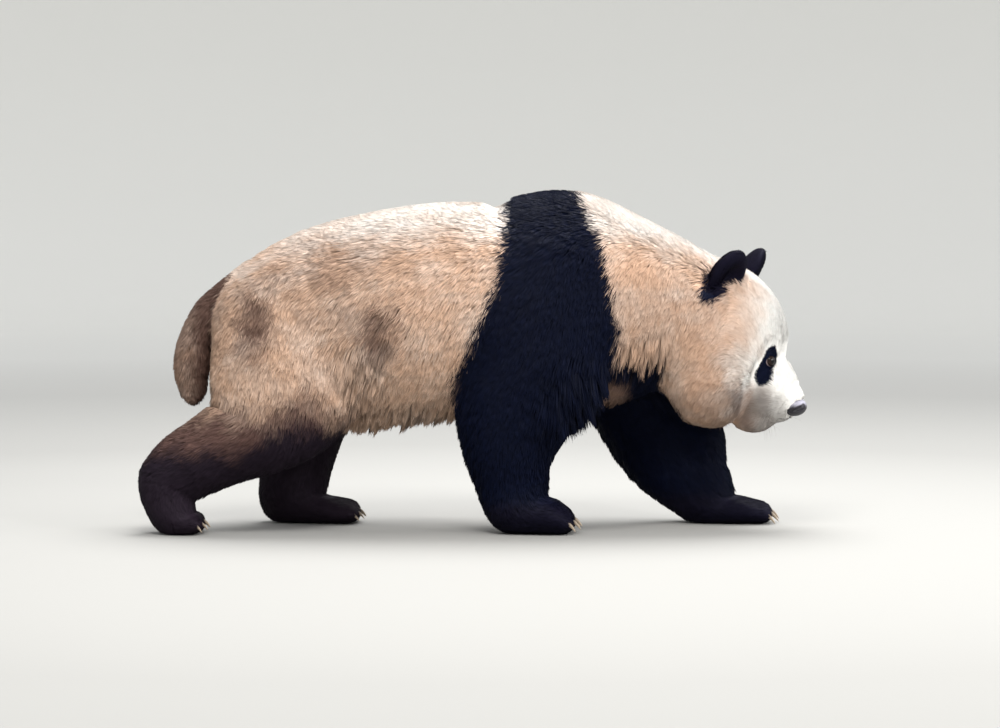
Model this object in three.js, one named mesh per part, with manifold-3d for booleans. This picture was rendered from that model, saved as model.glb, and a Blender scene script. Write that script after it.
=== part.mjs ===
// A giant panda in mid stride, as a life-size display model, out to the tips of its coat.
// Millimetres. It faces +X, its left side is +Y and the floor is Z = 0.
// The flesh is one smooth field of named forms, meshed region by region and parted by thin
// planar cuts. Eyes, ears, nose pad and claws are solids of their own, let into the flesh.
import * as THREE from "three";
import { mergeVertices } from "three/addons/utils/BufferGeometryUtils.js";
import Module from "manifold-3d";

const wasm = await Module();
wasm.setup();

// ---- Driving dimensions
const FOOT_Y = 126; // from the middle plane to the middle of a foot
const MIDDLE_X = 7.9; // middle of the overall length, which is set over the origin
const HEAD = { x: 546, yaw: -18 }; // pivot of the head, and how far it turns to its right, degrees
const PARTING = 0.8; // width of the thin cuts between the parts of the body
const FIT = 0.4; // room left round what is let into the flesh
const SOFT = { arm: 28, paw: 21, head: 57, face: 32, muzzle: 23, tail: 13 };
const MESH = { trunk: 65, limb: 46, paw: 32, head: 36, muzzle: 21, tail: 32 }; // facet sizes

// A station of a limb: where its middle is, its half depth fore and aft, its half width.
const at = (x, y, z, depth, width) => ({ x, y, z, depth, width });

// ---- Forms of the body
const SPINE = [
  at(-418, 0, 456, 162, 158), // rump
  at(-285, 0, 446, 227, 202), // loin
  at(-152, 0, 468, 237, 230), // belly
  at(-43, 0, 482, 237, 234), // ribs
  at(66, 0, 489, 232, 224),
  at(190, 0, 502, 243, 208), // withers
  at(294, 0, 500, 226, 193), // neck root
  at(408, 0, 482, 177, 172),
  at(494, 0, 439, 162, 161), // nape
];
const TAIL = [
  at(-532, 0, 518, 32, 38),
  at(-576, 0, 475, 36, 44),
  at(-602, 0, 408, 43, 48),
  at(-613, 0, 352, 42, 46),
  at(-610, 0, 302, 31, 34),
];
const LEGS = {
  front_right: {
    side: -1,
    upper: [at(190, 102, 532, 142, 110), at(152, 134, 399, 157, 98), at(104, 136, 296, 139, 91)],
    lower: [at(86, FOOT_Y + 5.5, 207, 107, 84), at(89, FOOT_Y, 138, 88, 75), at(96, FOOT_Y, 81, 74, 70)],
    paw: [at(97, FOOT_Y, 52, 56, 66), at(162, FOOT_Y, 40, 44, 76), at(196, FOOT_Y, 28, 34, 72)],
  },
  front_left: {
    side: 1,
    upper: [at(242, 102, 513, 142, 110), at(314, 132, 399, 144, 96), at(376, 137, 290, 125, 87)],
    lower: [at(441, 134, 192, 126, 81), at(470, FOOT_Y + 4, 135, 104, 74), at(509, FOOT_Y, 80, 79, 70)],
    paw: [at(524, FOOT_Y, 40, 49, 66), at(604, FOOT_Y, 28, 33, 76), at(648, FOOT_Y, 22, 27, 72)],
  },
  hind_right: {
    side: -1,
    upper: [at(-380, 86, 418, 180, 112), at(-399, 118, 328, 167, 105), at(-428, FOOT_Y, 252, 119, 93)],
    lower: [at(-530, FOOT_Y, 193, 91, 80), at(-614, FOOT_Y, 147, 79, 72), at(-658, FOOT_Y, 118, 63, 66)],
    paw: [at(-652, FOOT_Y, 76, 61, 66), at(-638, FOOT_Y, 34, 48, 72), at(-604, FOOT_Y, 23, 30, 74)],
  },
  hind_left: {
    side: 1,
    upper: [at(-380, 86, 418, 180, 112), at(-365, 118, 318, 133, 103), at(-365, FOOT_Y, 233, 93, 93)],
    lower: [at(-378, FOOT_Y, 163, 80, 82), at(-394, FOOT_Y, 104, 79, 72)],
    paw: [at(-413, FOOT_Y, 56, 62, 63), at(-332, FOOT_Y, 32, 37, 72), at(-274, FOOT_Y, 24, 29, 74)],
  },
};
// Forms of the head, in its own frame: x ahead of the pivot, y to its left, z above the floor.
const CRANIUM = { at: [14, 0, 408], size: [142, 141, 157] };
const CHEEK = { at: [3, 74, 336], size: [105, 101, 110] };
const CHIN = { at: [80, 0, 251], size: [49, 44, 40] };
const MUZZLE = [at(93, 0, 316, 84, 78), at(139, 0, 288, 53, 51), at(152, 0, 279, 32, 34)];
const EYE = { at: [128, 49.5, 373], radius: 12.5, gaze: [0.8, 0.58, -0.06] };
const NOSE = { at: [174, 0, 276], size: [24, 29, 22] };
const EAR = { at: [41, 94, 558], size: [25, 50, 67], dish: [19, 32, 44], turn: 24, lean: 31, splay: 10 };
const CLAW = { length: 26, radius: 5.4, droop: 0.014 };

// ---- Fields: each gives a distance, below 0 inside
const softMin = (a, b, k) => {
  const h = Math.max(k - Math.abs(a - b), 0) / k;
  return Math.min(a, b) - (h * h * k) / 4;
};
// Distance to an ellipsoid-like shape from the offset along and across it.
const ovalDistance = (u, v, a, b) => {
  const reach = Math.hypot(u / a, v / b);
  const steep = Math.hypot(u / (a * a), v / (b * b));
  return steep < 1e-9 ? -Math.min(a, b) : (reach * (reach - 1)) / steep;
};
const ellipsoid = ({ at: [cx, cy, cz], size: [a, b, c] }) => (x, y, z) => {
  const [u, v, w] = [x - cx, y - cy, z - cz];
  const reach = Math.hypot(u / a, v / b, w / c);
  const steep = Math.hypot(u / (a * a), v / (b * b), w / (c * c));
  return steep < 1e-9 ? -Math.min(a, b, c) : (reach * (reach - 1)) / steep;
};
// A limb: an oval section carried smoothly through its stations.
function limb(stations, side = 1) {
  const keys = ["x", "y", "z", "depth", "width"];
  const STEPS = 3;
  const fine = [];
  for (let i = 0; i < stations.length - 1; i++)
    for (let step = 0; step < STEPS; step++) fine.push(between(stations, i, step / STEPS, keys));
  fine.push({ ...stations.at(-1) });
  for (const s of fine) s.y *= side;
  return (x, y, z) => {
    let least = Infinity;
    for (let i = 0; i < fine.length - 1; i++) {
      const [p, q] = [fine[i], fine[i + 1]];
      const [dx, dy, dz] = [q.x - p.x, q.y - p.y, q.z - p.z];
      const along = ((x - p.x) * dx + (y - p.y) * dy + (z - p.z) * dz) / (dx * dx + dy * dy + dz * dz);
      const t = Math.min(1, Math.max(0, along));
      const u = Math.hypot(x - p.x - dx * t, z - p.z - dz * t);
      const v = y - p.y - dy * t;
      const [depth, width] = [p.depth + (q.depth - p.depth) * t, p.width + (q.width - p.width) * t];
      least = Math.min(least, ovalDistance(u, v, depth, width));
    }
    return least;
  };
}
// Catmull-Rom through the stations.
function between(stations, i, t, keys) {
  const pick = (j) => stations[Math.min(stations.length - 1, Math.max(0, j))];
  const [p0, p1, p2, p3] = [pick(i - 1), pick(i), pick(i + 1), pick(i + 2)];
  const made = {};
  for (const k of keys) {
    const [m1, m2] = [(p2[k] - p0[k]) / 2, (p3[k] - p1[k]) / 2];
    made[k] =
      (2 * t ** 3 - 3 * t ** 2 + 1) * p1[k] +
      (t ** 3 - 2 * t ** 2 + t) * m1 +
      (-2 * t ** 3 + 3 * t ** 2) * p2[k] +
      (t ** 3 - t ** 2) * m2;
  }
  return made;
}

const yaw = THREE.MathUtils.degToRad(HEAD.yaw);
const toHead = (x, y) => [
  (x - HEAD.x) * Math.cos(yaw) + y * Math.sin(yaw),
  -(x - HEAD.x) * Math.sin(yaw) + y * Math.cos(yaw),
];
const skullForms = [
  [ellipsoid(CRANIUM), 0],
  [ellipsoid(CHEEK), SOFT.face],
  [ellipsoid({ ...CHEEK, at: [CHEEK.at[0], -CHEEK.at[1], CHEEK.at[2]] }), SOFT.face],
  [limb(MUZZLE), SOFT.muzzle],
  [ellipsoid(CHIN), SOFT.muzzle],
];
const skull = (x, y, z) => {
  const [hx, hy] = toHead(x, y);
  return skullForms.reduce((d, [form, k]) => (k ? softMin(d, form(hx, hy, z), k) : form(hx, hy, z)), 0);
};
const spine = limb(SPINE);
const tail = limb(TAIL);
const legForms = Object.values(LEGS).map(({ side, upper, lower, paw }) => ({
  bone: limb([...upper, ...lower], side),
  paw: limb(paw, side),
}));
// The head blends into the neck, but not into the leg that passes under its cheek.
const headSoftness = (z) => 8 + (SOFT.head - 8) * THREE.MathUtils.smoothstep(z, 304, 399);

function flesh(x, y, z) {
  let d = spine(x, y, z);
  for (const { bone, paw } of legForms) {
    const whole = softMin(bone(x, y, z), paw(x, y, z), SOFT.paw);
    d = softMin(d, whole, SOFT.arm);
  }
  d = softMin(d, tail(x, y, z), SOFT.tail);
  return softMin(d, skull(x, y, z), headSoftness(z));
}

// ---- Meshing: surface nets on a grid, each vertex then moved onto the field's zero
function netted(field, low, high, step) {
  const count = low.map((l, i) => Math.ceil((high[i] - l) / step) + 1);
  const id = (i, j, k) => (k * count[1] + j) * count[0] + i;
  const value = new Float64Array(count[0] * count[1] * count[2]);
  const place = (i, j, k) => [low[0] + i * step, low[1] + j * step, low[2] + k * step];
  for (let k = 0; k < count[2]; k++)
    for (let j = 0; j < count[1]; j++)
      for (let i = 0; i < count[0]; i++) {
        const rim = [i, j, k].some((n, axis) => n === 0 || n === count[axis] - 1);
        value[id(i, j, k)] = rim ? step / 2 : field(...place(i, j, k)) || 1e-6;
      }
  const corners = [0, 1, 2, 3, 4, 5, 6, 7].map((n) => [n & 1, (n >> 1) & 1, n >> 2]);
  fillPinches(value, count, id, step);
  const vertex = new Map();
  const positions = [];
  for (let k = 0; k < count[2] - 1; k++)
    for (let j = 0; j < count[1] - 1; j++)
      for (let i = 0; i < count[0] - 1; i++) {
        const v = corners.map(([a, b, c]) => value[id(i + a, j + b, k + c)]);
        if (v.every((d) => d > 0) || v.every((d) => d < 0)) continue;
        const sum = [0, 0, 0];
        let crossings = 0;
        corners.forEach((from, m) =>
          [1, 2, 4].forEach((bit) => {
            if (m & bit || v[m] < 0 === v[m | bit] < 0) return;
            const t = v[m] / (v[m] - v[m | bit]);
            const to = corners[m | bit];
            from.forEach((c, axis) => (sum[axis] += c + (to[axis] - c) * t));
            crossings++;
          }),
        );
        const p = place(i, j, k).map((c, axis) => c + (sum[axis] / crossings) * step);
        vertex.set(id(i, j, k), positions.length / 3);
        positions.push(...settled(field, p, step));
      }
  const triangles = [];
  const square = (a, b, c, d, flip) =>
    flip ? triangles.push(a, c, b, a, d, c) : triangles.push(a, b, c, a, c, d);
  for (let k = 0; k < count[2] - 1; k++)
    for (let j = 0; j < count[1] - 1; j++)
      for (let i = 0; i < count[0] - 1; i++) {
        const here = value[id(i, j, k)] < 0;
        const cell = (a, b, c) => vertex.get(id(i - a, j - b, k - c));
        const crosses = (a, b, c) => here !== value[id(i + a, j + b, k + c)] < 0;
        if (crosses(1, 0, 0))
          square(cell(0, 1, 1), cell(0, 0, 1), cell(0, 0, 0), cell(0, 1, 0), !here);
        if (crosses(0, 1, 0))
          square(cell(1, 0, 1), cell(0, 0, 1), cell(0, 0, 0), cell(1, 0, 0), here);
        if (crosses(0, 0, 1))
          square(cell(1, 1, 0), cell(0, 1, 0), cell(0, 0, 0), cell(1, 0, 0), !here);
      }
  return new wasm.Manifold(
    new wasm.Mesh({
      numProp: 3,
      vertProperties: new Float32Array(positions),
      triVerts: new Uint32Array(triangles),
    }),
  );
}
// Wherever the inside touches itself only across a diagonal, one more grid point is taken in,
// until the surface is sound everywhere.
function fillPinches(value, count, id, step) {
  const axes = [
    [1, 0, 0],
    [0, 1, 0],
    [0, 0, 1],
  ];
  const pairs = [0, 1, 2].map((n) => [axes[n], axes[(n + 1) % 3]]);
  const inside = (n) => value[n] < 0;
  const takeNearest = (choice) => {
    const nearest = choice.filter((n) => !inside(n)).reduce((a, b) => (value[b] < value[a] ? b : a));
    value[nearest] = -step * 0.05;
  };
  for (let again = true; again; ) {
    again = false;
    for (let k = 0; k < count[2] - 1; k++)
      for (let j = 0; j < count[1] - 1; j++)
        for (let i = 0; i < count[0] - 1; i++) {
          const cell = (a, b, c) => id(i + a, j + b, k + c);
          for (const [u, v] of pairs) {
            const both = u.map((n, m) => n + v[m]);
            const [a, b, c, d] = [cell(0, 0, 0), cell(...u), cell(...v), cell(...both)];
            if (inside(a) !== inside(d) || inside(b) !== inside(c) || inside(a) === inside(b)) continue;
            takeNearest([a, b, c, d]);
            again = true;
          }
          const cube = [0, 1, 2, 3, 4, 5, 6, 7].map((n) => cell(n & 1, (n >> 1) & 1, n >> 2));
          for (let n = 0; n < 4; n++) {
            const odd = inside(cube[n]);
            const lone = cube.every((c, m) => inside(c) === (m === n || m === 7 - n ? odd : !odd));
            if (!lone) continue;
            takeNearest(cube);
            again = true;
          }
        }
  }
}
// Two Newton steps towards the surface, each held to a share of the facet size.
function settled(field, point, step) {
  const p = [...point];
  const PROBE = 0.5;
  for (let turn = 0; turn < 2; turn++) {
    const d = field(...p);
    const slope = [0, 1, 2].map((axis) => {
      const q = [...p];
      q[axis] += PROBE;
      return (field(...q) - d) / PROBE;
    });
    const steep = slope[0] ** 2 + slope[1] ** 2 + slope[2] ** 2 || 1;
    const most = step * 0.3;
    slope.forEach((g, axis) => (p[axis] -= THREE.MathUtils.clamp((d * g) / steep, -most, most)));
  }
  return p;
}

// ---- Parting: planes as [point, normal], the part lying on the side the normal points to
const plane = (point, normal) => ({ point, normal: new THREE.Vector3(...normal).normalize().toArray() });
const reverse = ({ point, normal }) => ({ point, normal: normal.map((n) => -n) });
const keep = (solid, planes, inset) =>
  planes.reduce((s, { point, normal }) => {
    const offset = point.reduce((sum, c, i) => sum + c * normal[i], 0);
    return s.trimByPlane(normal, offset + inset);
  }, solid);
const FAR = 2000;
const room = (planes, inset) => keep(solidOf(new THREE.BoxGeometry(FAR, FAR, FAR)), planes, inset);

const FLOOR = plane([0, 0, 0], [0, 0, 1]);
const CUT = {
  nape: plane([446, 0, 428], [0.975, 0, -0.22]), // towards the head
  withers: plane([285, 0, 570], [0.958, 0, 0.284]), // towards the neck
  ribs: plane([26, 0, 520], [0.957, 0, -0.288]), // towards the chest
  loin: plane([-276, 0, 0], [1, 0, 0]), // towards the abdomen
  underCheek: plane([494, 124, 249], [-0.62, 0.32, -0.72]), // towards the left foreleg
};
// Each leg: the planes that part it from the body, then its own two joints.
const LEG_CUTS = {
  front_right: {
    root: [
      plane([124, -61, 256], [0, -0.62, -0.78]),
      CUT.ribs,
      plane([0, -5.5, 0], [0, -1, 0]),
      plane([353, 0, 0], [-1, 0, 0]),
    ],
    middle: plane([95, 0, 228], [0.05, 0, -1]),
    foot: plane([101, 0, 80], [0.12, 0, -1]),
  },
  front_left: {
    root: [
      plane([314, 61, 249], [0.12, 0.62, -0.78]),
      CUT.underCheek,
      plane([0, 5.5, 0], [0, 1, 0]),
      plane([114, 0, 285], [1, 0, 0.25]),
    ],
    middle: plane([410, 0, 220], [0.5, 0, -0.86]),
    foot: plane([509, 0, 80], [0.35, 0, -0.94]),
  },
  hind_right: {
    root: [
      plane([-380, -44, 268], [0, -0.726, -0.688]),
      plane([0, -5.5, 0], [0, -1, 0]),
      plane([-249, 0, 0], [-1, 0, 0]),
    ],
    middle: plane([-480, 0, 226], [-0.85, 0, -0.4]),
    foot: plane([-656, 0, 106], [-0.1, 0, -1]),
  },
  hind_left: {
    root: [
      plane([-380, 44, 268], [0, 0.726, -0.688]),
      plane([0, 5.5, 0], [0, 1, 0]),
      plane([-167, 0, 0], [-1, 0, 0]),
    ],
    middle: plane([-328, 0, 201], [-0.2, 0, -1]),
    foot: plane([-380, 0, 84], [0, 0, -1]),
  },
};
const TAIL_CUT = [
  plane([-562, 0, 532], [-1, 0, 0.08]),
  plane([0, -59, 0], [0, 1, 0]),
  plane([0, 59, 0], [0, -1, 0]),
  plane([0, 0, 242], [0, 0, 1]),
];

// ---- Geometry to solid and back
function solidOf(geometry) {
  const bare = geometry.clone().deleteAttribute("normal").deleteAttribute("uv");
  const merged = mergeVertices(bare, 1e-4);
  return new wasm.Manifold(
    new wasm.Mesh({
      numProp: 3,
      vertProperties: new Float32Array(merged.attributes.position.array),
      triVerts: new Uint32Array(merged.index.array),
    }),
  );
}
function geometryOf(solid) {
  const { numProp, vertProperties, triVerts } = solid.getMesh();
  const shared = new THREE.BufferGeometry()
    .setAttribute("position", new THREE.BufferAttribute(new Float32Array(vertProperties), numProp))
    .setIndex(new THREE.BufferAttribute(new Uint32Array(triVerts), 1));
  const faceted = shared.toNonIndexed();
  faceted.computeVertexNormals();
  return faceted;
}

// ---- Pieces let into the flesh
const headFrame = new THREE.Matrix4().makeRotationZ(yaw).setPosition(HEAD.x, 0, 0);
const inHead = (geometry) => geometry.applyMatrix4(headFrame);
const round = (size, grow, across = 11, down = 7) =>
  new THREE.SphereGeometry(1, across, down).scale(...size.map((s) => s + grow));

const eyeball = (side, grow = 0) =>
  solidOf(
    inHead(
      new THREE.SphereGeometry(EYE.radius + grow, 10, 7).translate(EYE.at[0], side * EYE.at[1], EYE.at[2]),
    ),
  );
// The opening between the lids, a short cone that widens outwards along the gaze.
function lidOpening(side) {
  const gaze = new THREE.Vector3(EYE.gaze[0], side * EYE.gaze[1], EYE.gaze[2]).normalize();
  const reach = EYE.radius * 3;
  const cone = new THREE.CylinderGeometry(EYE.radius * 1.5, EYE.radius * 0.62, reach, 10);
  cone.translate(0, reach / 2 + EYE.radius * 0.35, 0);
  cone.applyQuaternion(new THREE.Quaternion().setFromUnitVectors(new THREE.Vector3(0, 1, 0), gaze));
  return solidOf(inHead(cone.translate(EYE.at[0], side * EYE.at[1], EYE.at[2])));
}
function nosePad(grow = 0) {
  const pad = solidOf(inHead(round(NOSE.size, grow).translate(...NOSE.at)));
  if (grow) return pad;
  return [-1, 1].reduce((s, side) => {
    const nostril = round([8.5, 4.3, 5.2], 0, 8, 5).translate(NOSE.at[0] + 20, side * 10, NOSE.at[2] - 6);
    return s.subtract(solidOf(inHead(nostril)));
  }, pad);
}
// An ear is a thick disc with a shallow dish in its front face.
function earShape(side, size, ahead = 0) {
  const { degToRad } = THREE.MathUtils;
  const turned = new THREE.Matrix4()
    .makeRotationY(degToRad(EAR.lean))
    .multiply(new THREE.Matrix4().makeRotationX(degToRad(-side * EAR.splay)))
    .multiply(new THREE.Matrix4().makeRotationZ(degToRad(side * EAR.turn)));
  const shape = round(size, 0).translate(ahead, 0, 0).applyMatrix4(turned);
  return solidOf(inHead(shape.translate(EAR.at[0], side * EAR.at[1], EAR.at[2])));
}
const earSocket = (side) => earShape(side, EAR.size.map((s) => s + FIT));
const ear = (side) => earShape(side, EAR.size).subtract(earShape(side, EAR.dish, EAR.size[0] * 1.15));

// A claw: a lathed spike, bent down and laid along its toe.
function claw({ x, y, z, heading, tilt, length = CLAW.length, grow = 0 }) {
  const r = CLAW.radius + grow;
  const outline = [
    [0, -length * 0.4 - grow],
    [r, -length * 0.4 - grow],
    [r * 0.72, length * 0.45],
    [0, length + grow],
  ].map(([a, b]) => new THREE.Vector2(a, b));
  const spike = new THREE.LatheGeometry(outline, 5);
  const points = spike.attributes.position;
  for (let i = 0; i < points.count; i++) {
    const along = Math.max(0, points.getY(i));
    points.setXYZ(i, points.getX(i) * 0.72 - CLAW.droop * along * along, points.getY(i), points.getZ(i));
  }
  spike.rotateZ(-Math.PI / 2).rotateY(tilt).rotateZ(heading).translate(x, y, z);
  return solidOf(spike);
}
// Five claws across the front of a paw, the outer ones set back.
function clawsOf(name) {
  const { side, paw } = LEGS[name];
  const toe = paw.at(-1);
  const hind = name.startsWith("hind");
  return [0, 1, 2, 3, 4].map((n) => {
    const across = (n - 2) / 2;
    return {
      name: `${name}_claw_${n + 1}`,
      x: toe.x + toe.depth * (0.86 - 0.42 * across * across),
      y: side * toe.y + across * toe.width * 0.74,
      z: toe.z + 4 - 6 * Math.abs(across),
      heading: across * 0.42,
      tilt: 0.42,
      length: hind ? CLAW.length * 0.8 : CLAW.length,
    };
  });
}

// ---- Materials
const finish = (color, roughness) => new THREE.MeshStandardMaterial({ color, roughness, metalness: 0 });
const COAT = {
  white: finish(0xd9c2a4, 0.9),
  dusky: finish(0xa98f78, 0.9),
  black: finish(0x15131a, 0.85),
  brown: finish(0x5d4840, 0.9),
};
const NOSE_PAD = finish(0x3a3840, 0.4);
const EYE_GLOSS = finish(0x140d09, 0.08);
const HORN = finish(0x5b5148, 0.5);

// ---- The model
const panda = new THREE.Group();
function add(name, solid, material) {
  const mesh = new THREE.Mesh(geometryOf(solid), material);
  mesh.name = name;
  panda.add(mesh);
}
const region = (low, high, step, planes, field = flesh) =>
  keep(keep(netted(field, low, high, step), planes, PARTING / 2), [FLOOR], 0);
const without = (solid, cutters) => cutters.reduce((s, c) => s.subtract(c), solid);
const legRooms = Object.fromEntries(
  Object.entries(LEG_CUTS).map(([name, { root }]) => [name, room(root, -PARTING / 2)]),
);
const frontRooms = [legRooms.front_right, legRooms.front_left];
const hindRooms = [legRooms.hind_right, legRooms.hind_left];
const tailRoom = room(TAIL_CUT, -PARTING / 2);

function trunk() {
  const low = [-690, -315, 115];
  const high = [590, 315, 820];
  const whole = netted(flesh, low, high, MESH.trunk);
  const between = (planes, cutters) => without(keep(whole, planes, PARTING / 2), cutters);
  add("neck", between([CUT.withers, reverse(CUT.nape)], frontRooms), COAT.white);
  add("chest", between([CUT.ribs, reverse(CUT.withers)], frontRooms), COAT.black);
  add("abdomen", between([CUT.loin, reverse(CUT.ribs)], hindRooms), COAT.white);
  add("rump", between([reverse(CUT.loin)], [...hindRooms, tailRoom]), COAT.dusky);
}

function tailPart() {
  add("tail", region([-705, -86, 235], [-495, 86, 610], MESH.tail, TAIL_CUT), COAT.brown);
}

function head() {
  const low = [360, -247, 170];
  const high = [780, 247, 650];
  const whole = netted(flesh, low, high, MESH.head);
  const snout = plane([665, -38, 314], [0.86, -0.28, -0.42]);
  const face = keep(whole, [CUT.nape, reverse(snout)], PARTING / 2).subtract(legRooms.front_left);
  const sides = [-1, 1];
  const cutters = sides.flatMap((s) => [eyeball(s, FIT), lidOpening(s), earSocket(s)]);
  add("head", without(face, cutters), COAT.white);
  const muzzle = region([570, -180, 170], [780, 115, 440], MESH.muzzle, [CUT.nape, snout]);
  add("muzzle", muzzle.subtract(nosePad(FIT)), COAT.white);
  add("nose", nosePad(), NOSE_PAD);
  for (const s of sides) {
    const name = s < 0 ? "right" : "left";
    add(`eye_${name}`, eyeball(s), EYE_GLOSS);
    add(`ear_${name}`, ear(s), COAT.black);
  }
}

function leg(name) {
  const { root, middle, foot } = LEG_CUTS[name];
  const { side, paw } = LEGS[name];
  const [near, far] = side < 0 ? [-315, 40] : [-40, 315];
  const xs = [...LEGS[name].upper, ...LEGS[name].lower].map((s) => s.x);
  const low = [Math.min(...xs) - 230, near, -50];
  const high = [Math.max(...xs) + 230, far, 590];
  const whole = netted(flesh, low, high, MESH.limb);
  const upper = keep(keep(whole, [...root, reverse(middle)], PARTING / 2), [FLOOR], 0);
  const lower = keep(keep(whole, [...root, middle, reverse(foot)], PARTING / 2), [FLOOR], 0);
  add(`${name}_upper_leg`, upper, COAT.black);
  add(`${name}_lower_leg`, lower, COAT.black);
  const pawXs = paw.map((s) => s.x);
  const claws = clawsOf(name);
  const pad = region(
    [Math.min(...pawXs) - 110, near, -40],
    [Math.max(...pawXs) + 80, far, 170],
    MESH.paw,
    [...root, foot],
  );
  add(`${name}_paw`, without(pad, claws.map((c) => claw({ ...c, grow: FIT }))), COAT.black);
  for (const c of claws) add(c.name, claw(c), HORN);
}

trunk();
tailPart();
head();
Object.keys(LEGS).forEach(leg);
panda.position.x = -MIDDLE_X;

export default panda;
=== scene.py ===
"""A life-size giant panda in mid stride: skin, coat, face and claws over its solids.

Its forms are worked out in millimetres, with the floor at z = 0, x ahead and y to the
animal's left, and become metres when a mesh is made."""

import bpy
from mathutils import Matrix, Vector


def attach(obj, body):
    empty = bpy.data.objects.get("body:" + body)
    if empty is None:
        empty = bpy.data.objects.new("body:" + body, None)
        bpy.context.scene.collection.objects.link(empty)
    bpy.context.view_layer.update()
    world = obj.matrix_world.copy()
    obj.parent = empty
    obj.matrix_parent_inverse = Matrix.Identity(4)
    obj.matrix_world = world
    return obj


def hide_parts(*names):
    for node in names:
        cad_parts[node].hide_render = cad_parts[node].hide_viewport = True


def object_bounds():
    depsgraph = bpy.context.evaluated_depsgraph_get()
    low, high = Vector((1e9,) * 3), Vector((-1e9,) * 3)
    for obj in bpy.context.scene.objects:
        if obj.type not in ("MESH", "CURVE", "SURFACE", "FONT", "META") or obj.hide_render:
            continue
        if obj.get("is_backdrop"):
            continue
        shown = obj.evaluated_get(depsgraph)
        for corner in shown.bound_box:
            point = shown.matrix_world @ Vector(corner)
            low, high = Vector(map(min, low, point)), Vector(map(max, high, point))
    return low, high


bl_info = {
    "name": "Giant Panda",
    "version": (1, 0, 0),
    "blender": (4, 5, 0),
    "location": "3D View > Sidebar > Panda",
    "description": "Builds a walking giant panda: one skin, a coat of solid tufts, eyes, nose and claws",
    "category": "Add Mesh",
}

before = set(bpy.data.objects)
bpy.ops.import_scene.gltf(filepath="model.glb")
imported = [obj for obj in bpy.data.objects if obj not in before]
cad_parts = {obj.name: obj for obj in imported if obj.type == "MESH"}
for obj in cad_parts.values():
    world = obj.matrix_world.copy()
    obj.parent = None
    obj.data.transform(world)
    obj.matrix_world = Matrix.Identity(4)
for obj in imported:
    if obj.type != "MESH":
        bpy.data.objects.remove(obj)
CAD_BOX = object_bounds()

import math
import bmesh
import bpy
import numpy as np
from mathutils import Matrix, Vector

MM = 0.001
MIDDLE_X = 7.9  # middle of the overall length, which stands over the origin

# ---- Forms of the body, as (x, y, z, half depth, half width, depth of coat)
FOOT_Y = 126  # how far a foot stands from the middle
SPINE = [
    (-418, 0, 451, 157, 158, 21),
    (-285, 0, 446, 227, 202, 20),
    (-152, 0, 468, 237, 230, 19),
    (-43, 0, 482, 237, 234, 19),
    (66, 0, 487, 230, 224, 18),
    (112, 0, 490, 231, 219, 18),
    (190, 0, 502, 243, 208, 17),
    (294, 0, 500, 226, 193, 16),
    (408, 0, 482, 177, 172, 15),
    (494, 0, 439, 162, 161, 14),
]
TAIL = [
    (-532, 0, 518, 32, 38, 15),
    (-576, 0, 475, 36, 44, 17),
    (-602, 0, 408, 43, 48, 20),
    (-613, 0, 352, 42, 46, 20),
    (-610, 0, 302, 31, 34, 16),
]
LEGS = {
    "front_right": {
        "side": -1,
        "bone": [
            (190, 102, 532, 142, 110, 18),
            (152, 134, 399, 157, 98, 18),
            (104, 136, 296, 139, 91, 17),
            (86, FOOT_Y + 5.5, 207, 107, 84, 15),
            (89, FOOT_Y, 138, 88, 75, 16),
            (96, FOOT_Y, 81, 74, 70, 13),
        ],
        "paw": [
            (97, FOOT_Y, 52, 56, 66, 10),
            (162, FOOT_Y, 40, 44, 76, 8),
            (196, FOOT_Y, 28, 34, 72, 7),
        ],
    },
    "front_left": {
        "side": 1,
        "bone": [
            (242, 102, 513, 142, 110, 18),
            (314, 132, 399, 144, 96, 18),
            (376, 137, 290, 125, 87, 17),
            (441, 134, 192, 126, 81, 15),
            (470, FOOT_Y + 4, 135, 104, 74, 16),
            (509, FOOT_Y, 80, 79, 70, 13),
        ],
        "paw": [
            (524, FOOT_Y, 40, 49, 66, 10),
            (604, FOOT_Y, 28, 33, 76, 8),
            (648, FOOT_Y, 22, 27, 72, 6),
        ],
    },
    "hind_right": {
        "side": -1,
        "bone": [
            (-380, 86, 418, 180, 112, 20),
            (-399, 118, 328, 167, 105, 20),
            (-428, FOOT_Y, 252, 119, 93, 18),
            (-530, FOOT_Y, 193, 91, 80, 15),
            (-614, FOOT_Y, 147, 79, 72, 16),
            (-658, FOOT_Y, 118, 63, 66, 13),
        ],
        "paw": [
            (-652, FOOT_Y, 76, 61, 66, 10),
            (-638, FOOT_Y, 34, 48, 72, 8),
            (-604, FOOT_Y, 23, 30, 74, 6),
        ],
    },
    "hind_left": {
        "side": 1,
        "bone": [
            (-380, 86, 418, 180, 112, 20),
            (-365, 118, 318, 133, 103, 20),
            (-365, FOOT_Y, 233, 93, 93, 18),
            (-378, FOOT_Y, 163, 80, 82, 15),
            (-394, FOOT_Y, 104, 79, 72, 13),
        ],
        "paw": [
            (-413, FOOT_Y, 56, 62, 63, 10),
            (-332, FOOT_Y, 32, 37, 72, 8),
            (-274, FOOT_Y, 24, 29, 74, 6),
        ],
    },
}
# The crest of the neck: a straight slope down to the ears, a little round across.
CREST_UPRIGHT = (0.454, 0.891)  # the way it faces, along x and z
CREST_HEIGHT, CREST_ROUND, CREST_COAT, CREST_BLEND = 783, 520, 15, 18
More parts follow.
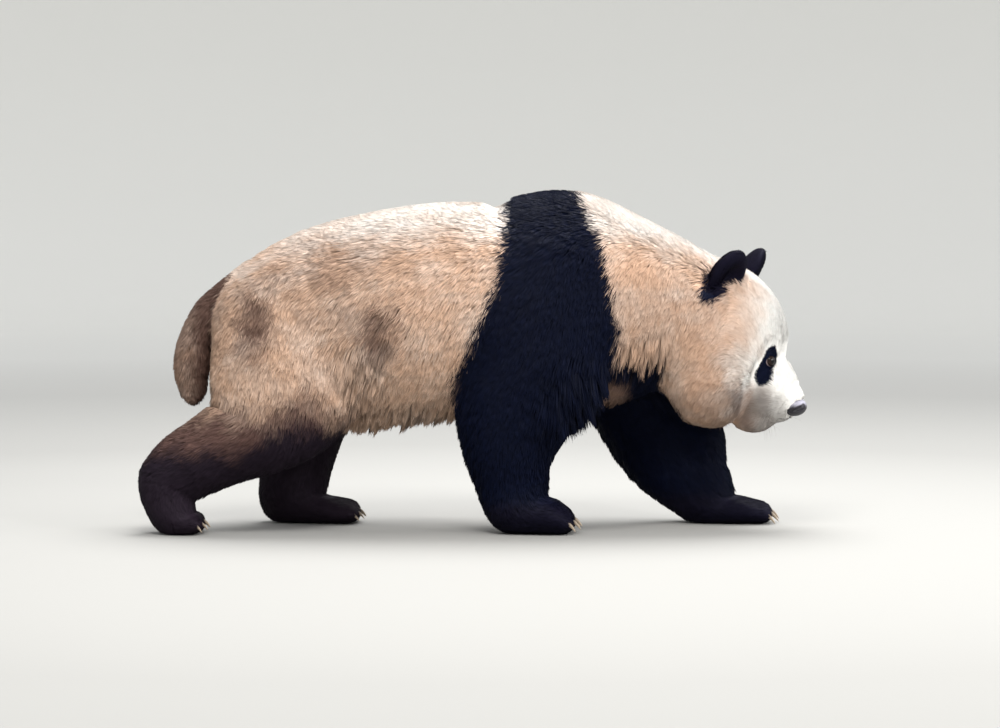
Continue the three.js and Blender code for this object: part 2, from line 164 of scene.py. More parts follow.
# Forms of the head, in its own frame: x ahead of the pivot, y to its left, z above the floor.
# Cranium, cheek and chin are (middle, half sizes, depth of coat).
HEAD_X = 546
HEAD_YAW = math.radians(-18)
CRANIUM = ((14, 0, 408), (142, 141, 157), 9)
CHEEK = ((3, 74, 336), (105, 101, 110), 16)
CHIN = ((80, 0, 251), (49, 44, 40), 8)
MUZZLE = [(93, 0, 316, 84, 78, 7), (139, 0, 288, 53, 51, 4), (152, 0, 279, 32, 34, 2.5)]
EYE = Vector((128, 49.5, 373))
EYE_RADIUS = 12.5
GAZE = Vector((0.8, 0.58, -0.06)).normalized()  # which way the lids open
LOOK = (0.80, 0.60, -0.04)  # which way the iris points
NOSE = (171, 0, 271)
NOSE_SIZE = (28, 32, 21)
EAR = (41, 94, 558)
EAR_SIZE = (25, 50, 67)
EAR_DISH = (19, 32, 44)
EAR_TURN, EAR_LEAN, EAR_SPLAY = math.radians(24), math.radians(31), math.radians(10)
EAR_COAT = 7
CLAW_LENGTH, CLAW_RADIUS, CLAW_DROOP = 26, 5.4, 0.014
# How widely each form blends into the next.
SOFT = {
    "arm": 28, "paw": 21, "tail": 13,
    "head": 57, "throat": 8, "face": 32, "muzzle": 25, "ear": 9, "dish": 6,
}
SIDES = {"right": -1, "left": 1}


# ---- Distances, below 0 inside. Each takes an array of points and gives one number a point.
def soft_min(a, b, k):
    h = np.maximum(k - np.abs(a - b), 0) / k
    return np.minimum(a, b) - h * h * k / 4


def soft_max(a, b, k):
    return -soft_min(-a, -b, k)


def smooth_step(value, low, high):
    """From 0 at low to 1 at high, level at both ends."""
    t = np.clip((value - low) / (high - low), 0, 1)
    return t * t * (3 - 2 * t)


def unit(vectors):
    return vectors / np.maximum(np.linalg.norm(vectors, axis=-1, keepdims=True), 1e-9)


def fade(value, low, high):
    """From 1 at low to 0 at high, level at both ends."""
    return smooth_step(-value, -high, -low)


def close_to(value, middle, far, near):
    """From 1 within near of the middle to 0 beyond far from it."""
    return fade(np.abs(value - middle), near, far)


def from_segment(points, start, end):
    """Distance from the line between two places, and how far along it, from 0 to 1."""
    step = end - start
    t = np.clip((points - start) @ step / (step @ step), 0, 1)
    return np.linalg.norm(points - start - t[:, None] * step, axis=1), t


def ellipsoid(points, centre, size):
    off = points - centre
    reach = np.linalg.norm(off / size, axis=1)
    steep = np.linalg.norm(off / np.square(size, dtype=float), axis=1)
    return np.where(steep < 1e-9, -min(size), reach * (reach - 1) / np.maximum(steep, 1e-9))


def through(stations, steps=3):
    """More stations along a smooth curve (Catmull-Rom) through the given ones."""
    rows = np.array(stations, dtype=float)
    ends = np.vstack([rows[:1], rows, rows[-1:]])
    fine = []
    for p0, p1, p2, p3 in zip(ends, ends[1:], ends[2:], ends[3:]):
        m1, m2 = (p2 - p0) / 2, (p3 - p1) / 2
        for t in np.arange(steps) / steps:
            fine.append(
                (2 * t**3 - 3 * t**2 + 1) * p1
                + (t**3 - 2 * t**2 + t) * m1
                + (3 * t**2 - 2 * t**3) * p2
                + (t**3 - t**2) * m2
            )
    return np.array(fine + [rows[-1]])


class Limb:
    """An oval section carried smoothly through stations."""

    FAR = 90.0  # distance given to points outside the box, where no blend reaches

    def __init__(self, stations, side=1):
        self.rows = through(stations)
        self.rows[:, 1] *= side
        reach = self.rows[:, 3:5].max() + self.FAR
        self.low = self.rows[:, :3].min(0) - reach
        self.high = self.rows[:, :3].max(0) + reach

    def measure(self, points):
        """Distance to the outline, depth of coat and way along the limb, for each point."""
        count = len(points)
        least, coat, way = np.full(count, self.FAR), np.zeros(count), np.zeros((count, 3))
        near = np.flatnonzero(np.all((points > self.low) & (points < self.high), axis=1))
        here = points[near]
        best, depth_of_coat, heading = least[near], coat[near], way[near]
        for p, q in zip(self.rows, self.rows[1:]):
            along = q[:3] - p[:3]
            t = np.clip((here - p[:3]) @ along / (along @ along), 0, 1)
            off = here - p[:3] - t[:, None] * along
            depth, width, fur = p[3:6, None] + t * (q - p)[3:6, None]
            u, v = np.hypot(off[:, 0], off[:, 2]), off[:, 1]
            reach = np.hypot(u / depth, v / width)
            steep = np.maximum(np.hypot(u / depth**2, v / width**2), 1e-9)
            d = reach * (reach - 1) / steep
            closer = d < best
            best = np.where(closer, d, best)
            depth_of_coat = np.where(closer, fur, depth_of_coat)
            heading[closer] = unit(along)
        least[near], coat[near], way[near] = best, depth_of_coat, heading
        return least, coat, way

    def distance(self, points, inset):
        d, coat, _ = self.measure(points)
        return d + inset * coat


SPINE_FORM = Limb(SPINE)
TAIL_FORM = Limb(TAIL)
LEG_FORMS = {
    name: (Limb(leg["bone"], leg["side"]), Limb(leg["paw"], leg["side"])) for name, leg in LEGS.items()
}
MUZZLE_FORM = Limb(MUZZLE)


def to_head(points):
    c, s = math.cos(HEAD_YAW), math.sin(HEAD_YAW)
    x, y = points[:, 0] - HEAD_X, points[:, 1]
    return np.column_stack([x * c + y * s, -x * s + y * c, points[:, 2]])


def from_head(points):
    c, s = math.cos(HEAD_YAW), math.sin(HEAD_YAW)
    p = np.atleast_2d(np.array(points, dtype=float))
    return np.column_stack([p[:, 0] * c - p[:, 1] * s + HEAD_X, p[:, 0] * s + p[:, 1] * c, p[:, 2]])


def mirrored(point, side):
    return np.array((point[0], side * point[1], point[2]), dtype=float)


def turn_about(axis, angle):
    return np.array(Matrix.Rotation(angle, 3, axis))


def ear_axes(side):
    """Columns: ahead of the ear's face, across it, up it, in the head's frame."""
    return turn_about("Y", EAR_LEAN) @ turn_about("X", -side * EAR_SPLAY) @ turn_about("Z", side * EAR_TURN)


def cheek_distance(head_points, side, inset):
    return ellipsoid(head_points, mirrored(CHEEK[0], side), CHEEK[1]) + inset * CHEEK[2]


def ear_distance(head_points, side, inset):
    local = (head_points - mirrored(EAR, side)) @ ear_axes(side)
    size = np.array(EAR_SIZE) - inset * EAR_COAT
    disc = ellipsoid(local, (0, 0, 0), tuple(size))
    dish = ellipsoid(local, (EAR_SIZE[0] * 1.15 - inset * 4, 0, 0), EAR_DISH)
    return soft_max(disc, -dish, SOFT["dish"])


def skull_parts(head_points, inset):
    """Distances to cranium, right cheek, left cheek, muzzle and chin."""
    return (
        ellipsoid(head_points, *CRANIUM[:2]) + inset * CRANIUM[2],
        *(cheek_distance(head_points, side, inset) for side in SIDES.values()),
        MUZZLE_FORM.distance(head_points, inset),
        ellipsoid(head_points, *CHIN[:2]) + inset * CHIN[2],
    )


def skull(head_points, inset):
    cranium, right, left, muzzle, chin = skull_parts(head_points, inset)
    d = soft_min(soft_min(cranium, right, SOFT["face"]), left, SOFT["face"])
    return soft_min(soft_min(d, muzzle, SOFT["muzzle"]), chin, SOFT["muzzle"])


NAPE_X = -260  # in the head's frame, behind which nothing of the head reaches
THROAT_Z = (304, 399)  # below the first the head meets the trunk sharply, above the second softly
FAR_OFF = 200.0  # distance given there, where no blend reaches


def trunk(points, inset):
    """The trunk, with the straight slope of the neck's crest down to the ears."""
    x, y, z = points.T
    crest = x * CREST_UPRIGHT[0] + z * CREST_UPRIGHT[1] + y**2 / CREST_ROUND
    crest += CREST_COAT * inset - CREST_HEIGHT
    return soft_max(SPINE_FORM.distance(points, inset), crest, CREST_BLEND)


def body(points, inset):
    """The whole flesh: inset 0 gives the outline at the tips of the coat, 1 the skin."""
    d = trunk(points, inset)
    for bone, paw in LEG_FORMS.values():
        whole = soft_min(bone.distance(points, inset), paw.distance(points, inset), SOFT["paw"])
        d = soft_min(d, whole, SOFT["arm"])
    d = soft_min(d, TAIL_FORM.distance(points, inset), SOFT["tail"])
    head_points = to_head(points)
    near = head_points[:, 0] > NAPE_X
    head = np.full(len(points), FAR_OFF)
    head[near] = skull(head_points[near], inset)
    softness = SOFT["throat"] + (SOFT["head"] - SOFT["throat"]) * smooth_step(points[:, 2], *THROAT_Z)
    d = soft_min(d, head, softness)
    for side in SIDES.values():
        ear = np.full(len(points), FAR_OFF)
        ear[near] = ear_distance(head_points[near], side, inset)
        d = soft_min(d, ear, SOFT["ear"])
    return d


def outline(points):
    return body(points, 0)


# ---- Details of the face, added to the skin
LID = 2.0  # thickness of an eyelid
SOCKET = 3.5  # how deep the ground round the eyes is sunk
OPENING = (11.4, 8.8)  # half length and half height of the opening between the lids
MOUTH = [(163, 0, 247, 0), (150, 20, 243, 0), (130, 37, 240, 0), (108, 47, 242, 0)]
MOUTH_RADIUS = 2.4
# The right half of the nostril, from the pad's middle, with the radius at each place.
NOSTRIL = [(25, 12, 1, 6.0), (17, 23, -3, 5.8), (7, 30, -8, 4.0), (-3, 33, -13, 2.4)]
BRIDGE = ((160, 0, 286), (31, 26, 20))  # the blunt end of the muzzle over the nose


def eye_axes(side):
    """Rows: along the gaze, along the opening, across it, in the head's frame."""
    gaze = Vector((GAZE.x, side * GAZE.y, GAZE.z))
    along = Vector((0.38, -side * 0.62, -0.42))
    along = (along - along.dot(gaze) * gaze).normalized()
    return np.array([gaze, along, gaze.cross(along)])


def eye_distance(head_points, side, grow):
    return np.linalg.norm(head_points - mirrored(EYE, side), axis=1) - EYE_RADIUS - grow


def lid_opening(local):
    """Distance to the edge of the almond-shaped opening, less than nothing inside it."""
    span = np.clip(1 - (local[:, 1] / OPENING[0]) ** 2, 0.02, 1)
    slit = np.hypot(local[:, 1] / OPENING[0], local[:, 2] / (OPENING[1] * span**0.35)) - 1
    return slit * OPENING[1] * 0.8


def lids(d, head_points):
    for side in SIDES.values():
        local = (head_points - mirrored(EYE, side)) @ eye_axes(side).T
        d = soft_min(d, eye_distance(head_points, side, LID), 7)
        aperture = np.maximum(lid_opening(local), -local[:, 0])
        d = soft_max(d, -aperture, 1.6)
        d = soft_max(d, -eye_distance(head_points, side, 0.25), 0.8)
    return d


def along_chain(points, stations):
    """Distance to a chain of stations, each with a radius."""
    least = np.full(len(points), 1e3)
    for a, b in zip(np.array(stations, dtype=float), np.array(stations[1:], dtype=float)):
        off, t = from_segment(points, a[:3], b[:3])
        least = np.minimum(least, off - a[3] - t * (b[3] - a[3]))
    return least


def mouth_distance(head_points):
    p = head_points.copy()
    p[:, 1] = np.abs(p[:, 1])
    return along_chain(p, MOUTH)


def skin_distance(points):
    d = body(points, 1)
    head_points = to_head(points)
    ahead, aside, up = head_points.T
    face = np.flatnonzero((ahead > 60) & (np.abs(aside) < 110) & (up < 460))
    if len(face):
        here = head_points[face]
        shaped = lids(d[face] + SOCKET * fade(patch_distance(here), -8, 12), here)
        shaped = soft_max(shaped, MOUTH_RADIUS - mouth_distance(here), 3)
        shaped = soft_min(shaped, ellipsoid(here, *BRIDGE), 14)
        pad = ellipsoid(here, NOSE, NOSE_SIZE) - 0.6
        d[face] = soft_max(shaped, -pad, 1.5)
    return np.maximum(d, -points[:, 2])


# ---- Meshing
def surface_net(field, low, high, step):
    """Vertices and quads of the field's zero on a grid, every edge shared by two quads."""
    axes = [np.arange(l, h + step, step) for l, h in zip(low, high)]
    grid = np.stack(np.meshgrid(*axes, indexing="ij"), -1)
    value = field(grid.reshape(-1, 3)).reshape(grid.shape[:3])
    for axis in range(3):
        for end in (0, -1):
            rim = [slice(None)] * 3
            rim[axis] = end
            value[tuple(rim)] = step
    fill_pinches(value, step)
    inside = value < 0
    cells = [n - 1 for n in value.shape]
    corner = lambda array, a, b, c: array[a : cells[0] + a, b : cells[1] + b, c : cells[2] + c]
    bits = [(a, b, c) for c in (0, 1) for b in (0, 1) for a in (0, 1)]
    number = sum(corner(inside, *bit).astype(int) for bit in bits)
    mixed = (number > 0) & (number < 8)
    index = np.full(cells, -1)
    index[mixed] = np.arange(mixed.sum())
    total, crossings = np.zeros((mixed.sum(), 3)), np.zeros(mixed.sum())
    for bit in bits:
        for axis in range(3):
            if bit[axis]:
                continue
            other = list(bit)
            other[axis] = 1
            v0, v1 = corner(value, *bit)[mixed], corner(value, *other)[mixed]
            crossed = (v0 < 0) != (v1 < 0)
            t = np.where(crossed, v0 / np.where(crossed, v0 - v1, 1), 0)
            place = np.tile(np.array(bit, dtype=float), (len(t), 1))
            place[:, axis] += t
            total += place * crossed[:, None]
            crossings += crossed
    start = np.argwhere(mixed)
    points = np.array([a[0] for a in axes]) + (start + total / crossings[:, None]) * step
    quads = []
    for axis in range(3):
        u, v = [n for n in range(3) if n != axis]
        first = [slice(1, n - 1) for n in value.shape]
        first[axis] = slice(0, value.shape[axis] - 1)
        second = list(first)
        second[axis] = slice(1, value.shape[axis])
        here, there = inside[tuple(first)], inside[tuple(second)]
        at = np.argwhere(here != there)
        at[:, u] += 1
        at[:, v] += 1
        ring = []
        for du, dv in ((1, 1), (0, 1), (0, 0), (1, 0)):
            cell = at.copy()
            cell[:, u] -= du
            cell[:, v] -= dv
            ring.append(index[tuple(cell.T)])
        ring = np.column_stack(ring)
        leaving = here[here != there] if axis != 1 else ~here[here != there]
        quads.append(np.where(leaving[:, None], ring, ring[:, ::-1]))
    return settled(field, points, step * 0.3), np.vstack(quads)


def fill_pinches(value, step):
    """Takes in a grid point wherever the inside touches itself only across a diagonal."""
    for _ in range(12):
        found = False
        for axis in range(3):
            u, v = [n for n in range(3) if n != axis]
            corners = []
            for du, dv in ((0, 0), (1, 0), (1, 1), (0, 1)):
                part = [slice(None)] * 3
                part[u] = slice(du, value.shape[u] - 1 + du)
                part[v] = slice(dv, value.shape[v] - 1 + dv)
                corners.append(tuple(part))
            a, b, c, d = (value[part] < 0 for part in corners)
            pinched = (a == c) & (b == d) & (a != b)
            if not pinched.any():
                continue
            found = True
            for part in corners:
                view = value[part]
                view[pinched & (view >= 0)] = -step * 0.05
        if not found:
            return


def slope(field, points, d, probe=0.4):
    return np.column_stack([(field(points + probe * axis) - d) / probe for axis in np.eye(3)])


def settled(field, points, most, turns=3):
    """Points moved onto the field's zero, no further at each turn than the given step."""
    p = points.copy()
    for _ in range(turns):
        d = field(p)
        g = slope(field, p, d)
        step = g * (d / np.maximum((g * g).sum(1), 0.05))[:, None]
        p -= np.clip(step, -most, most)
    return p


def refine(mesh, field, centre, radius, most):
    """Halves the mesh's edges within a ball and settles its points there again."""
    bm = bmesh.new()
    bm.from_mesh(mesh)
    middle = Vector(centre)
    inside = {v for v in bm.verts if (v.co - middle).length < radius}
    edges = [e for e in bm.edges if e.verts[0] in inside and e.verts[1] in inside]
    bmesh.ops.subdivide_edges(bm, edges=edges, cuts=1, use_grid_fill=True)
    bm.to_mesh(mesh)
    bm.free()
    co = coordinates(mesh)
    near = np.flatnonzero(np.linalg.norm(co - centre, axis=1) < radius)
    co[near] = settled(field, co[near], most)
    set_points(mesh, co)


def coordinates(mesh):
    co = np.empty(len(mesh.vertices) * 3, dtype=np.float32)
    mesh.vertices.foreach_get("co", co)
    return co.reshape(-1, 3).astype(float)


def set_points(mesh, points):
    mesh.vertices.foreach_set("co", points.astype(np.float32).ravel())


def smooth(mesh):
    mesh.polygons.foreach_set("use_smooth", np.ones(len(mesh.polygons), dtype=bool))


def normals_of(mesh):
    normals = np.empty(len(mesh.vertices) * 3, dtype=np.float32)
    mesh.vertex_normals.foreach_get("vector", normals)
    return normals.reshape(-1, 3).astype(float)


def mesh_of(name, points, faces):
    """A mesh from an array of points and one of faces, all with as many corners."""
    mesh = bpy.data.meshes.new(name)
    sides = faces.shape[1]
    mesh.vertices.add(len(points))
    set_points(mesh, points)
    mesh.loops.add(faces.size)
    mesh.loops.foreach_set("vertex_index", np.ascontiguousarray(faces, dtype=np.int32).ravel())
    mesh.polygons.add(len(faces))
    mesh.polygons.foreach_set("loop_start", np.arange(0, faces.size, sides, dtype=np.int32))
    smooth(mesh)
    mesh.update(calc_edges=True)
    return mesh


def to_metres(points):
    return (points - (MIDDLE_X, 0, 0)) * MM


def from_metres(points):
    return points / MM + (MIDDLE_X, 0, 0)


def piece(name, mesh, material, nodes=()):
    """Puts a mesh in the scene as a finished piece of the panda."""
    obj = bpy.data.objects.new(name, mesh)
    bpy.context.scene.collection.objects.link(obj)
    mesh.materials.clear()
    mesh.materials.append(material)
    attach(obj, "root")
    if nodes:
        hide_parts(*nodes)
    return obj


def give(mesh, name, values):
    attribute = mesh.attributes.new(name, "FLOAT", "POINT")
    attribute.data.foreach_set("value", np.ascontiguousarray(values, dtype=np.float32))


# ---- Markings with some painted light and shade, from the place of a point alone, for the skin and the coat alike
# The black band round the shoulders: (height, rear edge, front edge, how far further ahead
# it lies on the left side, whose foreleg reaches forward).
BAND = np.array([
    (180, -37, 262, 250),
    (281, -37, 268, 190),
    (320, -37, 300, 175),
    (376, -18, 323, 140),
    (431, 5, 323, 110),
    (464, 21, 318, 92),
    (543, 57, 307, 50),
    (598, 66, 297, 30),
    (648, 66, 280, 14),
    (699, 63, 254, 2),
    (740, 62, 240, 0),
    (780, 62, 220, 0),
])
SPINE_Z = 470  # rough height of the middle of the trunk
RUFF = np.array([(300, 372), (323, 376), (405, 378), (432, 350), (470, 320)])  # lower edge of the pale neck
JOWL_EDGE = np.array([(395, 345), (425, 312), (442, 284), (462, 252)])  # the pale jowl ends ahead of this
# The black round an eye: a line with a radius at each end, from the eye's middle.
PATCH_ENDS = (np.array((5, 4, 12)), np.array((-11, 15, -32)))
PATCH_RADII = (21.5, 25)
# The black that runs down behind an ear, round a line in the head's frame.
EAR_ROOT = (np.array((36, 117, 531)), np.array((13, 138, 512)))
EAR_ROOT_RADIUS = 19
# Darker places on the flanks, stains and the painted shade of the fold in front of the thigh: middle and
# reach along x and z, and how dark.
STAINS_AND_FOLD_SHADE = [
    (-461, 454, 50, 88, 1.0),
    # painted shade in the fold of the flank in front of the thigh
    (-198, 434, 52, 76, 0.92),
    (-262, 476, 62, 36, 0.42),
    (-240, 356, 44, 80, 0.20),
    (-289, 590, 130, 54, 0.34),
    (-330, 350, 90, 40, 0.22),
    (-300, 560, 85, 50, 0.44),
    (-540, 440, 50, 90, 0.3),
]


def wave(points, size, seed):
    """Smooth repeatable noise from about -1 to 1, in swells about the given size across."""
    rng = np.random.default_rng(seed)
    total = np.zeros(len(points))
    for _ in range(7):
        heading = unit(rng.normal(size=3))
        pitch = 2 * math.pi / size * rng.uniform(0.6, 1.5)
        total += np.sin(points @ heading * pitch + rng.uniform(0, 2 * math.pi))
    return total / 3.2


def patch_distance(head_points):
    """Distance from the edge of the black round the eyes, below 0 inside."""
    least = np.full(len(head_points), 1e3)
    first, second = PATCH_RADII
    for side in SIDES.values():
        start, end = (mirrored(EYE, side) + mirrored(place, side) for place in PATCH_ENDS)
        off, t = from_segment(head_points, start, end)
        least = np.minimum(least, off - (first + (second - first) * t))
    return least


def markings(points):
    """Four numbers a point: how pale, how tan the pale fur, how stained or darkened by painted shade, how
    brown the black fur.
    """
    x, y, z = points.T
    head_points = to_head(points)
    spine = SPINE_FORM.measure(points)[0]
    legs = {
        name: np.minimum(*(form.measure(points)[0] for form in forms)) for name, forms in LEG_FORMS.items()
    }
    head = np.minimum.reduce(skull_parts(head_points, 0))
    tail = TAIL_FORM.measure(points)[0]
    ragged = wave(points, 60, 3) * 5 + wave(points, 22, 4) * 3.5

    rear, front, ahead = (np.interp(z, BAND[:, 0], BAND[:, n]) for n in (1, 2, 3))
    ahead = ahead * smooth_step(y, -110, 120)
    band = np.minimum(x - rear - ahead, front + ahead - x) + ragged
    black = smooth_step(band, -11, 11)
    under_neck = np.interp(x, RUFF[:, 0], RUFF[:, 1]) - z + ragged
    under_neck = np.minimum(np.minimum(under_neck, x - 280), head - 6)
    black = np.maximum(black, smooth_step(under_neck, -5, 7))
    brown = np.zeros(len(points))
    for name, leg in legs.items():
        inward = np.minimum(np.minimum(spine, head), 60) - leg
        if name.startswith("front"):
            on_leg = smooth_step(inward + ragged, -8, 16) * fade(z, 390, 450)
        else:
            higher = 26 * close_to(x, -358, 52, 12)
            on_leg = smooth_step(inward, -14, 8) * smooth_step(higher - z + ragged * 3, -318, -215)
            low = 150 + 65 * smooth_step(x, -500, -400)
            brown = np.maximum(brown, on_leg * (0.15 + 0.85 * smooth_step(z + ragged * 2, low, low + 62)))
        black = np.maximum(black, on_leg)
    front_leg = np.minimum(legs["front_right"], legs["front_left"])
    chest = smooth_step(front_leg - spine, -4, 18) * fade(z, 305, 345)
    chest *= smooth_step(x, -60, 0) * fade(x, 318, 362)
    brown = np.maximum(brown, chest)
    black *= 1 - 0.32 * chest
    low_down = fade(z, 50, 90) * (x > 0)
    brown = np.maximum(brown, 0.045 * low_down)
    # Painted shade where the tail lies against the rump: brown-black in the crevice.
    tail_crevice_shade = fade(tail, 6, 26) * smooth_step(x, -622, -585)
    black = np.maximum(black, 0.42 * tail_crevice_shade)
    brown = np.maximum(brown, tail_crevice_shade)

    behind = np.minimum(spine + 12, np.minimum.reduce(list(legs.values())))
    on_head = smooth_step(behind - head, -6, 6)
    black *= 1 - on_head * (x > 400)
    behind_jowl = np.interp(x, JOWL_EDGE[:, 0], JOWL_EDGE[:, 1]) - z + ragged
    behind_jowl = np.minimum.reduce([behind_jowl, 465 - x, x - 385, behind - head + 12])
    black = np.maximum(black, smooth_step(behind_jowl, -6, 8))
    black = np.maximum(black, smooth_step(-patch_distance(head_points) + ragged * 0.12, -2, 2))
    face = head_points[:, 0]  # how far ahead in the head's frame
    for side in SIDES.values():
        ear = ear_distance(head_points, side, 0)
        black = np.maximum(black, smooth_step(-ear + ragged * 0.7, -16 + 8 * smooth_step(face, 30, 60), -6))
        brown = np.maximum(brown, 0.05 * fade(ear, 5, 20))
        off, _ = from_segment(head_points, *(mirrored(place, side) for place in EAR_ROOT))
        black = np.maximum(black, smooth_step(EAR_ROOT_RADIUS - off + ragged * 0.8, -4, 4))
        local = (head_points - mirrored(EYE, side)) @ eye_axes(side).T
        # Painted highlight: the wet edge of the lower lid drawn lighter than the black patch round it.
        rim = close_to(eye_distance(head_points, side, LID), 0, 2.2, 0.6) * (local[:, 0] > 2)
        rim *= close_to(lid_opening(local), 0.5, 1.3, 0.3) * smooth_step(local[:, 2] * side, 1, 4)
        black = black * (1 - 0.35 * rim)
    # The downward side of the muzzle greyed: mostly painted shade, partly grey hair.
    muzzle_side = fade(z, 282, 314) * close_to(face, 136, 38, 14) * (on_head > 0.5)
    black = np.maximum(black, 0.2 * muzzle_side)
    lips = fade(mouth_distance(head_points), MOUTH_RADIUS + 0.8, MOUTH_RADIUS + 3.4) * (face > 60)
    black = np.maximum(black, lips)

    upward = (z - SPINE_Z) / np.maximum(np.hypot(z - SPINE_Z, y), 1)
    tan = 0.92 + 0.10 * wave(points, 130, 5) + 0.08 * wave(points, 45, 6)
    # The top of the back drawn paler: partly cleaner fur, partly painted light from above.
    on_back = smooth_step(upward + 0.05 * wave(points, 55, 12), 0.60, 1.0)
    tan -= (0.2 + 0.45 * smooth_step(x, -480, -150)) * on_back
    # Painted highlight: the top rim of the rump drawn paler.
    tan -= 0.5 * fade(x, -525, -465) * smooth_step(z + 6 * wave(points, 40, 13), 545, 590)
    clean = smooth_step(face + 9 * wave(points, 50, 11) + 0.25 * np.maximum(z - 410, 0), 34, 124)
    clean += 0.8 * smooth_step(z, 500, 575) * smooth_step(face, -70, 40)
    tan -= smooth_step(behind - head, 0, 55) * np.minimum(clean, 1)
    stain_and_shade = 0.13 + 0.10 * wave(points, 95, 7) + 0.06 * wave(points, 40, 8)
    # Base stain only towards the rear, and less on the top of the back: partly cleaner fur, partly painted
    # light from above.
    stain_and_shade *= fade(x, -260, -50) * (1 - 0.7 * smooth_step(upward, 0.8, 1.0))
    for mid_x, mid_z, reach_x, reach_z, dark in STAINS_AND_FOLD_SHADE:
        off = np.hypot((x - mid_x) / reach_x, (z - mid_z) / reach_z)
        off += 0.22 * wave(points, 70, 9) + 0.14 * wave(points, 28, 10)
        stain_and_shade = np.maximum(stain_and_shade, dark * fade(off, -0.05, 1.6))
    # The tail's own grey-brown, darker on its inner side by the rump as painted shade.
    stain_and_shade = np.maximum(stain_and_shade, fade(tail, 6, 26) * (0.70 + 0.30 * smooth_step(x, -625, -585)))
    low_neck = smooth_step(x, 225, 290) * fade(z, 500, 585)
    stain_and_shade += 0.20 * low_neck * fade(upward, 0.4, 0.8)
    jowl = 0.14 + 0.24 * fade(z, 265, 350)
    jowl *= fade(face, 40, 105) * fade(z, 370, 470)
    mouth_corner = 0.62 * fade(z, 300, 348) * close_to(face, 100, 54, 22)
    jowl += np.maximum(mouth_corner, 0.3 * muzzle_side)
    stain_and_shade = np.where(on_head > 0.5, jowl, stain_and_shade)
    return 1 - black, np.clip(tan, 0, 1), np.clip(stain_and_shade, 0, 1), np.clip(brown, 0, 1)


def mark(mesh, points, repeat=1):
    for name, values in zip(("pale", "tan", "stain_and_shade", "brown"), markings(points)):
        give(mesh, name, np.repeat(values, repeat))


# ---- Materials
class Nodes:
    """A short way to lay out a material's nodes."""

    def __init__(self, name):
        self.material = bpy.data.materials.new(name)
        self.material.use_nodes = True
        self.tree = self.material.node_tree
        self.tree.nodes.clear()

    def add(self, kind, **settings):
        node = self.tree.nodes.new(kind)
        for key, value in settings.items():
            setattr(node, key, value)
        return node

    def link(self, source, target):
        self.tree.links.new(source, target)

    def mix(self, factor, a, b, blend="MIX"):
        node = self.add("ShaderNodeMix", data_type="RGBA", blend_type=blend)
        for socket, value in ((node.inputs[0], factor), (node.inputs[6], a), (node.inputs[7], b)):
            self.put(socket, value)
        return node.outputs[2]

    def math(self, operation, *values):
        node = self.add("ShaderNodeMath", operation=operation)
        for socket, value in zip(node.inputs, values):
            self.put(socket, value)
        return node.outputs[0]

    def put(self, socket, value):
        if isinstance(value, bpy.types.NodeSocket):
            self.link(value, socket)
        elif isinstance(value, (tuple, list)):
            socket.default_value = (*value, 1.0) if len(value) == 3 else value
        else:
            socket.default_value = value

    def attribute(self, name):
        return self.add("ShaderNodeAttribute", attribute_name=name).outputs["Fac"]

    def place(self):
        return self.add("ShaderNodeTexCoord").outputs["Object"]

    def noise(self, scale, detail=3.0, stretch=(1, 1, 1)):
        mapping = self.add("ShaderNodeMapping")
        mapping.inputs["Scale"].default_value = stretch
        self.link(self.place(), mapping.inputs["Vector"])
        node = self.add("ShaderNodeTexNoise")
        node.inputs["Scale"].default_value = scale
        node.inputs["Detail"].default_value = detail
        self.link(mapping.outputs["Vector"], node.inputs["Vector"])
        return node.outputs["Fac"]

    def bump(self, height, strength, distance):
        node = self.add("ShaderNodeBump")
        node.inputs["Strength"].default_value = strength
        node.inputs["Distance"].default_value = distance
        self.link(height, node.inputs["Height"])
        return node.outputs["Normal"]

    def surface(self, color, roughness, normal=None, **constants):
        shader = self.add("ShaderNodeBsdfPrincipled")
        self.put(shader.inputs["Base Color"], color)
        self.put(shader.inputs["Roughness"], roughness)
        for name, value in constants.items():
            shader.inputs[name.replace("_", " ")].default_value = value
        if normal:
            self.link(normal, shader.inputs["Normal"])
        output = self.add("ShaderNodeOutputMaterial")
        self.link(shader.outputs[0], output.inputs["Surface"])
        return self.material


def linear(red, green, blue):
    """A colour given as 0 to 255 on screen, as the shaders take it."""
    return tuple(
        ((c / 255 + 0.055) / 1.055) ** 2.4 if c > 10 else c / 255 / 12.92 for c in (red, green, blue)
    )


def fur_color(nodes, settings):
    """Cream to tan to the colour of stains and painted shade, and blue-black to brown, by the markings."""
    cream = nodes.mix(nodes.attribute("tan"), tuple(settings.cream), tuple(settings.tan))
    pale = nodes.mix(nodes.attribute("stain_and_shade"), cream, tuple(settings.stain_and_shade))
    black = nodes.mix(nodes.attribute("brown"), tuple(settings.black), tuple(settings.brown))
    return nodes.mix(nodes.attribute("pale"), black, pale)


def shaded(nodes, color, shade):
    """The colour made darker or lighter by a number."""
    grey = nodes.add("ShaderNodeCombineColor")
    for socket in grey.inputs[:3]:
        nodes.put(socket, shade)
    return nodes.mix(1.0, color, grey.outputs[0], blend="MULTIPLY")


def coat_material(settings):
    nodes = Nodes("fur")
    # Painted shade: the fur darker towards the roots, by along; the patchy noise is random tone.
    shade = nodes.math("MULTIPLY_ADD", nodes.attribute("along"), 0.30, 0.77)
    patchy = nodes.math("MULTIPLY_ADD", nodes.noise(38, 3), 0.16, 0.92)
    tone_and_shade = nodes.math("MULTIPLY", nodes.math("MULTIPLY", shade, nodes.attribute("tone_and_shade")), patchy)
    return nodes.surface(shaded(nodes, fur_color(nodes, settings), tone_and_shade), 0.62, Specular_IOR_Level=0.08)


